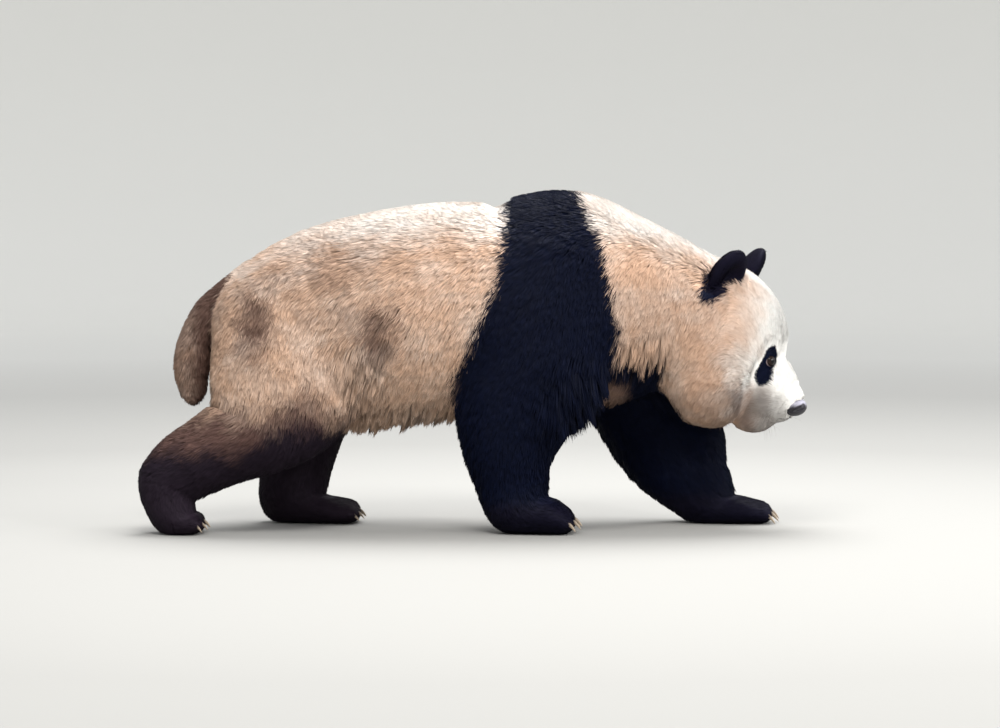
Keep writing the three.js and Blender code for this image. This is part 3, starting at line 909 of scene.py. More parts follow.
def skin_material(settings):
    """Short dense underfur: streaks along the body, a fine broken surface, and painted shade darker where
    the locks are deep.
    """
    nodes = Nodes("underfur")
    streaks = nodes.math("MULTIPLY_ADD", nodes.noise(420, 2, (1, 1, 0.35)), 0.16, 0.92)
    tone_and_shade = nodes.math("MULTIPLY", streaks, nodes.attribute("along"))
    color = shaded(nodes, fur_color(nodes, settings), tone_and_shade)
    bump = nodes.bump(nodes.noise(700, 3, (1, 1, 0.3)), 0.5, 0.002)
    return nodes.surface(color, 0.85, bump, Specular_IOR_Level=0.08)


def nose_material(settings):
    nodes = Nodes("nose_skin")
    pebbles = nodes.add("ShaderNodeTexVoronoi")
    pebbles.inputs["Scale"].default_value = 620
    nodes.link(nodes.place(), pebbles.inputs["Vector"])
    # Painted reflection: the upper part of the wet pad drawn pale, as the sky it mirrors.
    pad_and_glare = nodes.mix(nodes.attribute("upper"), (0.022, 0.020, 0.026), tuple(settings.nose))
    # Painted shade in the nostrils and the groove between them.
    color = nodes.mix(nodes.attribute("cavity"), pad_and_glare, (0.002, 0.0018, 0.002))
    bump = nodes.bump(pebbles.outputs["Distance"], 0.6, 0.0008)
    roughness = nodes.math("MULTIPLY_ADD", nodes.noise(120, 2), 0.2, 0.42)
    return nodes.surface(color, roughness, bump, Specular_IOR_Level=0.3)


def eye_material(settings):
    nodes = Nodes("eye")
    rays = nodes.mix(nodes.noise(900, 3), tuple(settings.iris), (0.008, 0.004, 0.003))
    ball = nodes.mix(nodes.attribute("white"), rays, (0.62, 0.47, 0.48))
    color = nodes.mix(nodes.attribute("pupil"), ball, (0.0015, 0.0015, 0.002))
    return nodes.surface(color, 0.05, Specular_IOR_Level=0.22)


def claw_material(settings):
    nodes = Nodes("claw_horn")
    grain = nodes.noise(260, 4, (0.3, 1, 1))
    base = nodes.mix(grain, (0.030, 0.022, 0.018), (0.10, 0.075, 0.058))
    color = nodes.mix(nodes.attribute("along"), base, tuple(settings.horn))
    return nodes.surface(color, 0.42, nodes.bump(grain, 0.2, 0.0004), Specular_IOR_Level=0.5)


def whisker_material():
    nodes = Nodes("whisker_hair")
    color = nodes.mix(nodes.noise(300, 2), (0.16, 0.14, 0.13), (0.45, 0.42, 0.38))
    return nodes.surface(color, 0.5, Specular_IOR_Level=0.3)


# ---- Coat
# How the hair lies on each form: angle off the skin in degrees, spacing, width of a tuft,
# and how far the tufts gather into locks.
LIE = {
    "spine": (27, 2.75, 3.1, 1.0),
    "neck": (22, 2.4, 2.7, 0.6),
    "bone": (26, 2.85, 3.1, 0.7),
    "paw": (19, 2.5, 2.6, 0.3),
    "tail": (27, 2.4, 2.9, 0.8),
    "cranium": (14, 1.8, 1.9, 0.05),
    "cheek": (24, 2.0, 2.2, 0.5),
    "muzzle": (13, 1.4, 1.4, 0.0),
    "chin": (26, 1.7, 1.8, 0.4),
    "ear": (25, 2.0, 2.3, 0.1),
}
REGIONS = ("head", "ears", "neck", "chest", "flank", "rump", "tail", *LEGS)
MOST_TUFTS = 49500  # four triangles each, under 200,000 for a piece
SHOULDER_DIP_X = 92  # where the back dips behind the shoulders, and its hair is short
DOWN = np.array((0, 0, -1.0))


class Lie:
    """How the coat lies at each of some points of the skin."""

    def __init__(self, points, normals):
        self.points, self.normals = points, normals
        x, _, z = points.T
        head_points = to_head(points)
        names, distances, ways, values = [], [], [], []

        def take(region, distance, way, kind, other=None, share=0.0):
            names.append(region)
            distances.append(distance)
            ways.append(way)
            rows = np.tile(np.array(LIE[kind], dtype=float), (len(points), 1))
            values.append(rows if other is None else rows + share[:, None] * (np.array(LIE[other]) - rows))

        level = 1 - normals[:, 2]
        neck = smooth_step(x, 220, 380)
        fall = 0.12 + 1.05 * level + 0.4 * neck + 0.5 * fade(x, -450, -330)
        fall *= 1 - 0.9 * neck * smooth_step(normals[:, 2], 0.3, 0.7)
        way = unit(np.column_stack([0 * x - 0.62, 0 * x, -fall]))
        take("spine", SPINE_FORM.measure(points)[0], way, "spine", "neck", smooth_step(x, 230, 350))
        for name, (bone, paw) in LEG_FORMS.items():
            for form, kind in ((bone, "bone"), (paw, "paw")):
                d, _, way = form.measure(points)
                take(name, d, way, kind)
        d, _, way = TAIL_FORM.measure(points)
        take("tail", d, way, "tail")
        away = unit(points - from_head((190, 0, 282)))
        droop = 1.5 * fade(head_points[:, 0], 40, 105) * fade(z, 350, 455)
        back = unit(away + droop[:, None] * DOWN)
        cranium, right, left, muzzle, chin = skull_parts(head_points, 0)
        take("head", cranium, back, "cranium")
        take("head", np.minimum(right, left), back, "cheek")
        take("head", muzzle, back, "muzzle")
        take("head", chin, back, "chin")
        for side in SIDES.values():
            d = ear_distance(head_points, side, 0)
            root = from_head(mirrored(EAR, side) + ear_axes(side) @ np.array((-6, 0, -48)))
            take("ears", d - 3, unit(points - root), "ear")

        distances = np.array(distances)
        weights = np.exp(-(distances - distances.min(0)) / 9)
        weights /= weights.sum(0)
        self.way = np.einsum("fn,fnk->nk", weights, np.array(ways))
        self.lift, self.spacing, self.width, self.locks = np.einsum("fn,fnk->kn", weights, np.array(values))
        nearest = np.array(names)[distances.argmin(0)]
        part = np.where(x > 285, "neck", np.where(x > 26, "chest", np.where(x > -276, "flank", "rump")))
        self.region = np.where(nearest == "spine", part, nearest)
        self.hang, armpit = self.fringes(nearest)
        self.fall = unit(DOWN + 0.55 * armpit[:, None] * (1.0, 0, 0))
        sunk = 1 - 0.5 * fade(patch_distance(head_points), -6, 6) * (nearest == "head")
        self.depth = np.clip(-outline(points) * sunk, 2, 60)
        self.way = unit(self.way)
        self.way = unit(self.way - (self.way * normals).sum(1, keepdims=True) * normals)
        lift = np.radians(self.lift)
        hair = self.aim(lift, self.way)
        stand = np.maximum((hair * normals).sum(1), np.sin(lift))
        length = self.depth * (1 + 0.45 * self.hang + 0.7 * armpit) / stand
        self.length = np.minimum(length, 2.5 + 0.8 * clearance(head_points))
        self.seen = points + 0.55 * self.length[:, None] * hair

    def fringes(self, nearest):
        """From 0 to 1, where long locks hang: belly, fold of the flank, ruff, forelegs and jowl,
        and again for the front of the forelegs alone."""
        x, _, z = self.points.T
        n = self.normals
        trunk = nearest == "spine"
        foreleg = (nearest == "front_right") | (nearest == "front_left")
        belly = trunk * fade(n[:, 2], -0.6, -0.05) * fade(z, 270, 340)
        fold = trunk * close_to(x, -225, 85, 40) * close_to(z, 345, 110, 60)
        ruff = (trunk | (nearest == "head")) * close_to(x, 375, 85, 40)
        ruff *= close_to(z, 400, 75, 30)
        armpit = foreleg * smooth_step(n[:, 0], -0.1, 0.4) * close_to(z, 330, 95, 45)
        elbow = foreleg * fade(n[:, 0], -0.7, -0.3)
        elbow *= smooth_step(z, 60, 130) * fade(z, 330, 420)
        jowl = (nearest == "head") * fade(z, 255, 330) * fade(x, 560, 640)
        return np.maximum.reduce([belly, 0.7 * fold, 0.9 * ruff, armpit, 0.5 * elbow, 0.35 * jowl]), armpit

    def aim(self, lift, way):
        """The direction of the hair, from its angle off the skin and its way along it."""
        hair = way * np.cos(lift)[:, None] + self.normals * np.sin(lift)[:, None]
        share = 0.6 * self.hang[:, None]
        hair = unit(hair * (1 - share) + self.fall * share)
        sunk = np.minimum((hair * self.normals).sum(1) - 0.12, 0)
        return unit(hair - sunk[:, None] * self.normals)


def nearest_seeds(points, cell, seed):
    """The nearest of a set of scattered points, one in each cell of a lattice, and how much
    further off the next one is."""
    base = np.floor(points / cell).astype(np.int64)
    best, second = np.full(len(points), np.inf), np.full(len(points), np.inf)
    found = np.zeros_like(points)
    for offset in np.ndindex(3, 3, 3):
        at = base + np.array(offset) - 1
        mixed = at[:, 0] * 73856093 ^ at[:, 1] * 19349663 ^ at[:, 2] * 83492791 ^ seed
        jitter = np.column_stack([((mixed * m >> 8) & 1023) / 1023 for m in (2654435, 4042433, 6178919)])
        seeds = (at + jitter) * cell
        d = np.linalg.norm(seeds - points, axis=1)
        closer = d < best
        second = np.where(closer, best, np.minimum(second, d))
        best[closer], found[closer] = d[closer], seeds[closer]
    return found, second - best


def gathered(lie, cell, seed, most):
    """How far each tip is drawn along the skin to the middle of its lock, how far its root is
    from the parting between that lock and the next, and the middle of the lock."""
    seeds, gap = nearest_seeds(lie.points, cell, seed)
    pull = seeds - lie.points
    pull -= (pull * lie.normals).sum(1, keepdims=True) * lie.normals
    reach = np.linalg.norm(pull, axis=1)
    return pull * (np.minimum(reach, most) / np.maximum(reach, 1e-6))[:, None], gap, seeds


def scatter(mesh, points, normals, rng):
    """Roots spread evenly over the skin, closer together where the hair is finer."""
    mesh.calc_loop_triangles()
    tris = np.empty(len(mesh.loop_triangles) * 3, dtype=np.int32)
    mesh.loop_triangles.foreach_get("vertices", tris)
    tris = tris.reshape(-1, 3)
    a, b, c = (points[tris[:, n]] for n in range(3))
    spacing = Lie((a + b + c) / 3, unit(normals[tris].sum(1))).spacing
    area = np.linalg.norm(np.cross(b - a, c - a), axis=1) / 2
    total = np.cumsum(area / spacing**2)
    count = int(total[-1])
    chosen = np.searchsorted(total, (np.arange(count) + rng.random(count)) * total[-1] / count)
    chosen = np.minimum(chosen, len(tris) - 1)
    order = np.arange(count)
    u, v = (order * 0.7548776662) % 1, (order * 0.5698402910) % 1
    flip = u + v > 1
    u, v = np.where(flip, 1 - u, u), np.where(flip, 1 - v, v)
    share = np.column_stack([1 - u - v, u, v])[:, :, None]
    return (points[tris[chosen]] * share).sum(1), unit((normals[tris[chosen]] * share).sum(1))


def clearance(head_points):
    """How far a point is from the nose pad, the eyes and the lips, which no hair covers."""
    least = np.minimum(ellipsoid(head_points, NOSE, NOSE_SIZE), mouth_distance(head_points) - MOUTH_RADIUS)
    for side in SIDES.values():
        least = np.minimum(least, eye_distance(head_points, side, 0))
    return np.maximum(least, 0)


def bare(points, normals):
    """Where no hair grows: nose pad, eyes, lips and the soles on the floor."""
    return (clearance(to_head(points)) < 2.6) | ((points[:, 2] < 4) & (normals[:, 2] < -0.6))


class Tufts:
    """A thin leaf-shaped solid at each root: its foot in the skin, two sides and a tip."""

    def __init__(self, lie, rng, gain):
        p, n, hang, locks = lie.points, lie.normals, lie.hang, lie.locks
        count = len(p)
        swirl = np.column_stack([
            wave(p, 70, seed) + 0.9 * locks * wave(p, 21, seed + 3) for seed in (21, 22, 23)
        ])
        stray = (0.04 + 0.07 * locks)[:, None] * rng.normal(size=p.shape)
        way = unit(lie.way + (0.05 + 0.12 * locks)[:, None] * swirl + stray)
        way = unit(way - (way * n).sum(1, keepdims=True) * n)
        lift = np.radians(lie.lift * rng.uniform(0.85, 1.15, count) * (1 + 0.12 * locks * wave(p, 45, 24)))
        fine, gap, _ = gathered(lie, 17, 7, 2.6 * locks)
        lock, wide_gap, centre = gathered(lie, 24, 5, 9 * hang)
        pull = fine + lock
        uneven = (1 + 0.06 * locks * wave(p, 30, 25)) * (1 + 0.28 * hang * wave(centre, 12, 27))
        length = lie.length * gain * uneven * rng.uniform(0.84 - 0.2 * hang, 1.08, count)
        behind_shoulder = close_to(p[:, 0], SHOULDER_DIP_X, 42, 8)
        length *= 1 - 0.5 * behind_shoulder * smooth_step(n[:, 2], 0.5, 0.85)
        hair = lie.aim(lift, way)
        proud = np.maximum(outline(p + length[:, None] * hair), 0)  # how far a tip stands past the outline
        length *= 1 - (1 - hang) * np.minimum(proud / (proud + lie.depth), 0.35)
        ring = p + 0.42 * length[:, None] * lie.aim(np.minimum(lift * 1.4, 1.3), way) + 0.35 * pull
        tip = p + length[:, None] * hair + pull
        foot = p - n * np.minimum(lie.depth * 0.15, 2.5)[:, None]
        for place in (ring, tip):
            place[:, 2] = np.maximum(place[:, 2], 1.5)
        keel = unit(tip - foot)
        across = unit(np.cross(n, keel))
        top = np.cross(keel, across)
        width = lie.width * rng.uniform(0.8, 1.2, count)
        rise = ((ring - foot) * top).sum(1)
        ring += np.maximum(0.16 * width - rise, 0)[:, None] * top
        side = across * (width / 2)[:, None]
        self.corners = np.stack([foot, ring - side, ring + side, tip], 1)
        self.corners[:, :, 2] = np.maximum(self.corners[:, :, 2], 0.3)
        rounded = -0.25 * pull / np.maximum(np.linalg.norm(pull, axis=1), 6)[:, None]
        soft = unit(0.65 * n + 0.35 * top + rounded)
        self.normals = np.stack([soft, unit(soft - 0.25 * across), unit(soft + 0.25 * across), soft], 1)
        # Painted shade along the partings between locks; the mottle is random tone.
        parting = 0.26 * locks * fade(gap, 0.5, 4) + 0.3 * hang * fade(wide_gap, 1, 8)
        mottle = (0.02 + 0.02 * locks) * (rng.normal(size=count) + wave(p, 14, 31))
        self.tones_and_shade = (1 + mottle) * (1 - parting)
        # Painted shade: each tuft darker towards its root, the more so in deep locks.
        self.along = 1 - (0.35 + 0.65 * locks)[:, None] * np.array([1.0, 0.5, 0.5, 0.0])
        self.seen = lie.seen + (1.2 + 9 * locks)[:, None] * rng.uniform(-1, 1, p.shape)


LEAF = np.array([(0, 1, 2), (0, 3, 1), (1, 3, 2), (2, 3, 0)])  # faces of a tuft, pointing out


def unwrap(points, region):
    """A place from 0 to 1 each way on a simple unrolling of the region's own shape."""
    if region == "head":
        local = to_head(points) - (20, 0, 370)
        around = np.arctan2(local[:, 1], local[:, 0]) / (2 * math.pi) + 0.5
        up = np.arccos(np.clip(unit(local)[:, 2], -1, 1)) / math.pi
        return np.column_stack([around, up])
    if region == "ears":
        local = to_head(points)
        side = local[:, 1] > 0
        off = local - np.where(side[:, None], mirrored(EAR, 1), mirrored(EAR, -1))
        around = np.arctan2(off[:, 0], np.where(side, off[:, 1], -off[:, 1])) / (4 * math.pi) + 0.25
        return np.column_stack([around + 0.5 * side, np.clip(off[:, 2] / 170 + 0.5, 0, 1)])
    if region in LEGS:
        bone, _ = LEG_FORMS[region]
        rows = bone.rows[np.argsort(bone.rows[:, 2])]
        middle = np.interp(points[:, 2], rows[:, 2], rows[:, 0])
        around = np.arctan2(points[:, 1] - rows[0, 1], points[:, 0] - middle) / (2 * math.pi) + 0.5
        return np.column_stack([around, np.clip(points[:, 2] / 480, 0, 1)])
    if region == "tail":
        around = np.arctan2(points[:, 1], points[:, 0] + 600) / (2 * math.pi) + 0.5
        return np.column_stack([around, np.clip((points[:, 2] - 250) / 320, 0, 1)])
    around = np.arctan2(points[:, 1], points[:, 2] - 470) / (2 * math.pi) + 0.5
    low, high = {"neck": (285, 560), "chest": (26, 285), "flank": (-276, 26), "rump": (-600, -276)}[region]
    return np.column_stack([around, np.clip((points[:, 0] - low) / (high - low), 0, 1)])


PATCH = 0.003  # size of a tuft's own patch on the unrolling
PATCH_SHAPE = np.array([(0, -0.5), (-0.5, 0), (0.5, 0), (0, 0.5)]) * PATCH


def coat_piece(name, region, made, roots, chosen, material):
    """One mesh of the chosen tufts, shaded softly by normals near those of the skin."""
    corners = made.corners[chosen]
    count = len(corners)
    faces = (LEAF[None] + 4 * np.arange(count)[:, None, None]).reshape(-1, 3)
    mesh = mesh_of(name, to_metres(corners.reshape(-1, 3)), faces)
    mark(mesh, made.seen[chosen], 4)
    # along carries the painted shade at the roots.
    give(mesh, "along", made.along[chosen].ravel())
    give(mesh, "tone_and_shade", np.repeat(made.tones_and_shade[chosen], 4))
    shading = mesh.attributes.new("custom_normal", "FLOAT_VECTOR", "POINT")
    shading.data.foreach_set("vector", made.normals[chosen].astype(np.float32).ravel())
    place = np.clip(unwrap(roots[chosen], region), PATCH, 1 - PATCH)
    uv = (place[:, None, :] + PATCH_SHAPE[None]).reshape(-1, 2)
    layer = mesh.uv_layers.new(name="OFBake")
    layer.uv.foreach_set("vector", uv[faces.ravel()].astype(np.float32).ravel())
    return piece(name, mesh, material)


# ---- Claws and whiskers, copies set out by geometry nodes
def copies(name, places, turns, lengths, shape, material):
    """One mesh of a shape repeated at each place, turned and stretched as given, in metres."""
    mesh = bpy.data.meshes.new(name)
    mesh.from_pydata([tuple(place) for place in places], [], [])
    turn = mesh.attributes.new("turn", "FLOAT_VECTOR", "POINT")
    turn.data.foreach_set("vector", np.array([tuple(t) for t in turns], dtype=np.float32).ravel())
    give(mesh, "stretch", lengths)
    host = bpy.data.objects.new(name, mesh)
    bpy.context.scene.collection.objects.link(host)
    tree = copy_tree()
    modifier = host.modifiers.new("copies", "NODES")
    modifier.node_group = tree
    for item in tree.interface.items_tree:
        if item.name == "Shape":
            modifier[item.identifier] = shape
        elif item.name == "Finish":
            modifier[item.identifier] = material
        elif item.name == "Size":
            modifier[item.identifier] = 1.0
    depsgraph = bpy.context.evaluated_depsgraph_get()
    made = bpy.data.meshes.new_from_object(host.evaluated_get(depsgraph), depsgraph=depsgraph)
    made.name = name
    bpy.data.objects.remove(host)
    return made


def copy_tree():
    tree = bpy.data.node_groups.get("set_out_copies")
    if tree:
        return tree
    tree = bpy.data.node_groups.new("set_out_copies", "GeometryNodeTree")
    face = tree.interface
    face.new_socket("Points", in_out="INPUT", socket_type="NodeSocketGeometry")
    face.new_socket("Shape", in_out="INPUT", socket_type="NodeSocketObject")
    face.new_socket("Finish", in_out="INPUT", socket_type="NodeSocketMaterial")
    face.new_socket("Size", in_out="INPUT", socket_type="NodeSocketFloat").default_value = 1.0
    face.new_socket("Copies", in_out="OUTPUT", socket_type="NodeSocketGeometry")
    add, link = tree.nodes.new, tree.links.new
    given, out = add("NodeGroupInput"), add("NodeGroupOutput")
    shape, put = add("GeometryNodeObjectInfo"), add("GeometryNodeInstanceOnPoints")
    real, finish = add("GeometryNodeRealizeInstances"), add("GeometryNodeSetMaterial")
    turn, stretch = (add("GeometryNodeInputNamedAttribute") for _ in range(2))
    turn.data_type, stretch.data_type = "FLOAT_VECTOR", "FLOAT"
    turn.inputs["Name"].default_value = "turn"
    stretch.inputs["Name"].default_value = "stretch"
    euler, size = add("FunctionNodeEulerToRotation"), add("ShaderNodeMath")
    size.operation = "MULTIPLY"
    link(given.outputs["Shape"], shape.inputs["Object"])
    link(given.outputs["Points"], put.inputs["Points"])
    link(shape.outputs["Geometry"], put.inputs["Instance"])
    link(turn.outputs["Attribute"], euler.inputs[0])
    link(euler.outputs[0], put.inputs["Rotation"])
    link(stretch.outputs["Attribute"], size.inputs[0])
    link(given.outputs["Size"], size.inputs[1])
    link(size.outputs[0], put.inputs["Scale"])
    link(put.outputs[0], real.inputs[0])
    link(real.outputs[0], finish.inputs["Geometry"])
    link(given.outputs["Finish"], finish.inputs["Material"])
    link(finish.outputs[0], out.inputs[0])
    return tree


def spike(name, length, radius, droop, start, flat=1.0, rings=9, sides=12, power=1.8):
    """A curved spike along x, closed at both ends, as an object of its own, in metres."""
    bm = bmesh.new()
    along = bm.verts.layers.float.new("along")
    hoops = []
    for ring in range(rings):
        t = ring / rings
        reach = length * (start + (1 - start) * t)
        thick = radius * (1 - t**power) ** 0.8
        hoop = []
        for corner in range(sides):
            angle = 2 * math.pi * corner / sides
            fall = droop * max(0, reach) ** 2
            place = (reach, math.sin(angle) * thick * flat, math.cos(angle) * thick - fall)
            vert = bm.verts.new(Vector(place) * MM)
            vert[along] = t
            hoop.append(vert)
        hoops.append(hoop)
    tip = bm.verts.new(Vector((length, 0, -droop * length**2)) * MM)
    tip[along] = 1.0
    bm.faces.new(hoops[0])
    for low, high in zip(hoops, hoops[1:]):
        for n in range(sides):
            m = (n + 1) % sides
            bm.faces.new((low[n], low[m], high[m], high[n]))
    for n in range(sides):
        bm.faces.new((hoops[-1][n], hoops[-1][(n + 1) % sides], tip))
    bmesh.ops.recalc_face_normals(bm, faces=bm.faces)
    for face in bm.faces:
        face.smooth = True
    mesh = bpy.data.meshes.new(name)
    bm.to_mesh(mesh)
    bm.free()
    return bpy.data.objects.new(name, mesh)


CLAW_TILT = 0.42  # down from level
CLAW_FAN = 0.42  # the outermost claws' turn to the sides


def claw_places(name):
    """Root, turn and size of each claw across the front of a paw."""
    leg = LEGS[name]
    x, y, z, depth, width, _ = leg["paw"][-1]
    for n in range(5):
        across = (n - 2) / 2
        place = (
            x + depth * (0.86 - 0.42 * across * across),
            leg["side"] * y + across * width * 0.74,
            z + 4 - 6 * abs(across),
        )
        yield place, (0, CLAW_TILT, across * CLAW_FAN), 0.8 if name.startswith("hind") else 1.0


BESIDE_NOSE, ON_CHIN = 12, 6  # whiskers on each side


def whisker_places(rng):
    """Root, turn and size of the stiff hairs beside the nose and on the chin."""
    for side in SIDES.values():
        for n in range(BESIDE_NOSE + ON_CHIN):
            if n < BESIDE_NOSE:
                start = np.array((118 + 9 * (n % 4) + rng.uniform(-2, 2), 0, 264 + 9 * (n // 4)))
                way = np.array((0.15 * rng.uniform(-1, 1) - 0.1, side, -0.35))
            else:
                start = np.array((rng.uniform(85, 115), 0, 252))
                way = np.array((rng.uniform(0.2, 0.7), side * 0.5, -1))
            span = np.linspace(0, 90, 181)[:, None]
            line = from_head(start + span * unit(way))
            out = np.flatnonzero(skin_distance(line) > 0)[0]  # the first place outside the skin
            heading = Vector(line[out] - line[0])
            yield line[out - 4], heading.to_track_quat("X", "Z").to_euler(), rng.uniform(0.5, 1.0)


# ---- The add-on
def color_property(name, description, default):
    return bpy.props.FloatVectorProperty(
        name=name, description=description, subtype="COLOR", size=3, default=linear(*default)
    )


class PandaSettings(bpy.types.PropertyGroup):
    skin_step: bpy.props.FloatProperty(
        name="Skin facets", description="Size of the skin's facets on the body, in millimetres", default=9.5
    )
    coat_gain: bpy.props.FloatProperty(
        name="Coat length", description="Length of the hair against what fills the outline", default=1.0
    )
    seed: bpy.props.IntProperty(name="Seed", description="Fixes the scatter of the coat", default=11)
    cream: color_property("Cream", "Clean pale fur", (250, 248, 243))
    tan: color_property("Tan", "Pale fur dulled by earth", (212, 176, 150))
    # Used for stains, and also for painted shade in the flank's fold, beside the tail and on the muzzle's
    # side.
    stain_and_shade: color_property("Grime", "Stained fur", (108, 84, 73))
    black: color_property("Black", "Fur of the shoulders, forelegs and ears", (4, 10, 32))
    brown: color_property("Brown", "Fur of the upper hind legs and under the chest", (98, 74, 68))
    # The pale colour on the top of the nose pad is a painted reflection of the sky on the wet pad.
    nose: color_property("Nose", "Skin of the nose pad", (172, 170, 184))
    iris: color_property("Iris", "Iris of the eyes", (32, 19, 15))
    horn: color_property("Horn", "Horn of the claws", (178, 160, 138))


class StageSettings(bpy.types.PropertyGroup):
    elevation: bpy.props.FloatProperty(
        name="Elevation", description="Angle the camera looks down by", subtype="ANGLE",
        default=math.radians(3.0)
    )
    distance: bpy.props.FloatProperty(
        name="Distance", description="From the camera to what it looks at", unit="LENGTH", default=8.194
    )
    view_width: bpy.props.FloatProperty(
        name="View width", description="Width seen at that distance", unit="LENGTH", default=2.2007
    )
    floor_color: color_property("Floor", "Colour of the floor round the animal", (152, 151, 148))
    wall_color: color_property("Wall", "Colour of the wall far behind", (226, 225, 221))


VIEW_MIDDLE = Vector((0.0577, 0, 0.3614))  # what the camera looks at
LIT_MIDDLE = Vector((0.1, 0, 0.4))  # what the lights shine at


class PANDA_OT_stage(bpy.types.Operator):
    """Lays the floor and backdrop and sets the lights and the camera"""

    bl_idname = "panda.stage"
    bl_label = "Stage"

    def execute(self, context):
        settings = context.scene.panda_stage
        context.scene.view_settings.view_transform = "Standard"
        self.floor(settings)
        self.lights(context.scene)
        self.camera(context.scene, settings)
        return {"FINISHED"}

    def floor(self, settings):
        """A round floor that sweeps up into a low wall, the same from every side."""
        flat, bend, top = 10.0, 1.6, 2.8
        profile = [(flat * n / 4, 0.0) for n in range(1, 5)]
        profile += [
            (flat + bend * math.sin(a), bend * (1 - math.cos(a)))
            for a in (math.radians(9 * n) for n in range(1, 11))
        ]
        profile.append((flat + bend, top))
        bm = bmesh.new()
        spokes = 96
        turns = [2 * math.pi * n / spokes for n in range(spokes)]
        rings = [[bm.verts.new((r * math.cos(a), r * math.sin(a), z)) for a in turns] for r, z in profile]
        bm.faces.new(rings[0])
        for low, high in zip(rings, rings[1:]):
            for n in range(spokes):
                m = (n + 1) % spokes
                bm.faces.new((low[n], high[n], high[m], low[m])).smooth = True
        mesh = bpy.data.meshes.new("studio_floor")
        bm.to_mesh(mesh)
        bm.free()
        obj = bpy.data.objects.new("studio_floor", mesh)
        bpy.context.scene.collection.objects.link(obj)
        # Painted shade: the floor is darker round the animal, under the lamps' pool of light, and lighter
        # far off, so floor and wall look evenly bright.
        give(mesh, "far", smooth_step(np.linalg.norm(coordinates(mesh), axis=1), flat / 4, flat))
        nodes = Nodes("studio_floor")
        color = nodes.mix(nodes.attribute("far"), tuple(settings.floor_color), tuple(settings.wall_color))
        mesh.materials.append(nodes.surface(color, 0.9, Specular_IOR_Level=0.1))
        obj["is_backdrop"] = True

    def lights(self, scene):
        world = bpy.data.worlds.new("studio")
        world.use_nodes = True
        sky = world.node_tree.nodes["Background"]
        sky.inputs["Color"].default_value = (0.96, 0.98, 1.0, 1.0)
        sky.inputs["Strength"].default_value = 0.95
        scene.world = world
        for name, place, size, power, color in (
            ("key", (-0.2, -2.6, 3.3), 1.6, 120, (1.0, 0.985, 0.96)),
            ("front", (3.4, -0.6, 1.9), 1.8, 44, (1.0, 0.99, 0.98)),
            ("catch", (2.9, -2.8, 2.3), 0.5, 54, (1.0, 0.99, 0.98)),
            ("top", (0.4, 1.2, 3.9), 3.0, 285, (1.0, 1.0, 1.0)),
        ):
            light = bpy.data.lights.new(name, "AREA")
            light.shape = "DISK"
            light.size = size
            light.energy = power
            light.color = color
            obj = bpy.data.objects.new(name, light)
            obj.location = place
            aim = LIT_MIDDLE - obj.location
            obj.rotation_euler = aim.to_track_quat("-Z", "Y").to_euler()
            scene.collection.objects.link(obj)

    def camera(self, scene, settings):
        away = Vector((0, -math.cos(settings.elevation), math.sin(settings.elevation)))
        camera = bpy.data.cameras.new("camera")
        camera.sensor_width = 36.0
        camera.lens = camera.sensor_width * settings.distance / settings.view_width
        obj = bpy.data.objects.new("camera", camera)
        obj.location = VIEW_MIDDLE + away * settings.distance
        obj.rotation_euler = (-away).to_track_quat("-Z", "Y").to_euler()
        scene.collection.objects.link(obj)
        scene.camera = obj


SKIN_BOX = ((-740, -245), (750, 245, 770))  # round the whole skin, from just under the floor


class PANDA_OT_skin(bpy.types.Operator):
    """Makes the one skin of the whole body, finest on the face"""

    bl_idname = "panda.skin"
    bl_label = "Skin"

    def execute(self, context):
        settings = context.scene.panda
        step = settings.skin_step
        low, high = SKIN_BOX
        mesh = mesh_of("skin", *surface_net(skin_distance, (*low, -1.5 * step), high, step))
        finer = [((40, 0, 380), 250, 2.0), ((120, 0, 310), 105, 1.2)]  # head, then face
        for side in SIDES.values():
            eye = mirrored(EYE, side)
            finer += [(eye, 30, 0.7), (eye, 22, 0.4)]
        finer.append(((150, 0, 262), 50, 0.7))  # mouth
        for middle, radius, most in finer:
            refine(mesh, skin_distance, from_head(middle)[0], radius, most)
        smooth(mesh)
        mesh.update()
        co = coordinates(mesh)
        lie = Lie(co, normals_of(mesh))
        mark(mesh, lie.seen)
        # Painted shade: the underfur darker where the locks are deep, lighter on the face.
        give(mesh, "along", 0.92 - 0.30 * lie.locks)
        set_points(mesh, to_metres(co))
        mesh.update()
        flesh = ["head", "muzzle", "neck", "chest", "abdomen", "rump", "tail", "ear_right", "ear_left"]
        flesh += [f"{leg}_{part}" for leg in LEGS for part in ("upper_leg", "lower_leg", "paw")]
        piece("skin", mesh, skin_material(settings), flesh)
        return {"FINISHED"}


class PANDA_OT_eyes(bpy.types.Operator):
    """Makes the two eyes, each with a bulging cornea, a pupil, an iris and its white"""

    bl_idname = "panda.eyes"
    bl_label = "Eyes"

    def execute(self, context):
        material = eye_material(context.scene.panda)
        for name, side in SIDES.items():
            bm = bmesh.new()
            bmesh.ops.create_icosphere(bm, subdivisions=5, radius=EYE_RADIUS)
            mesh = bpy.data.meshes.new(f"eye_{name}")
            bm.to_mesh(mesh)
            bm.free()
            co = coordinates(mesh)
            off_axis = np.arccos(np.clip(unit(co) @ unit(mirrored(LOOK, side)), -1, 1))
            co *= 1 + 0.05 * np.exp(-((off_axis / 0.45) ** 2))[:, None]
            give(mesh, "pupil", 1 - smooth_step(off_axis, 0.36, 0.44))
            give(mesh, "white", smooth_step(off_axis, 1.10, 1.22) * smooth_step(co[:, 1] * side, 0, 4))
            co = from_head(co + mirrored(EYE, side))
            set_points(mesh, to_metres(co))
            smooth(mesh)
            piece(f"eyeball_{name}", mesh, material, [f"eye_{name}"])
        return {"FINISHED"}


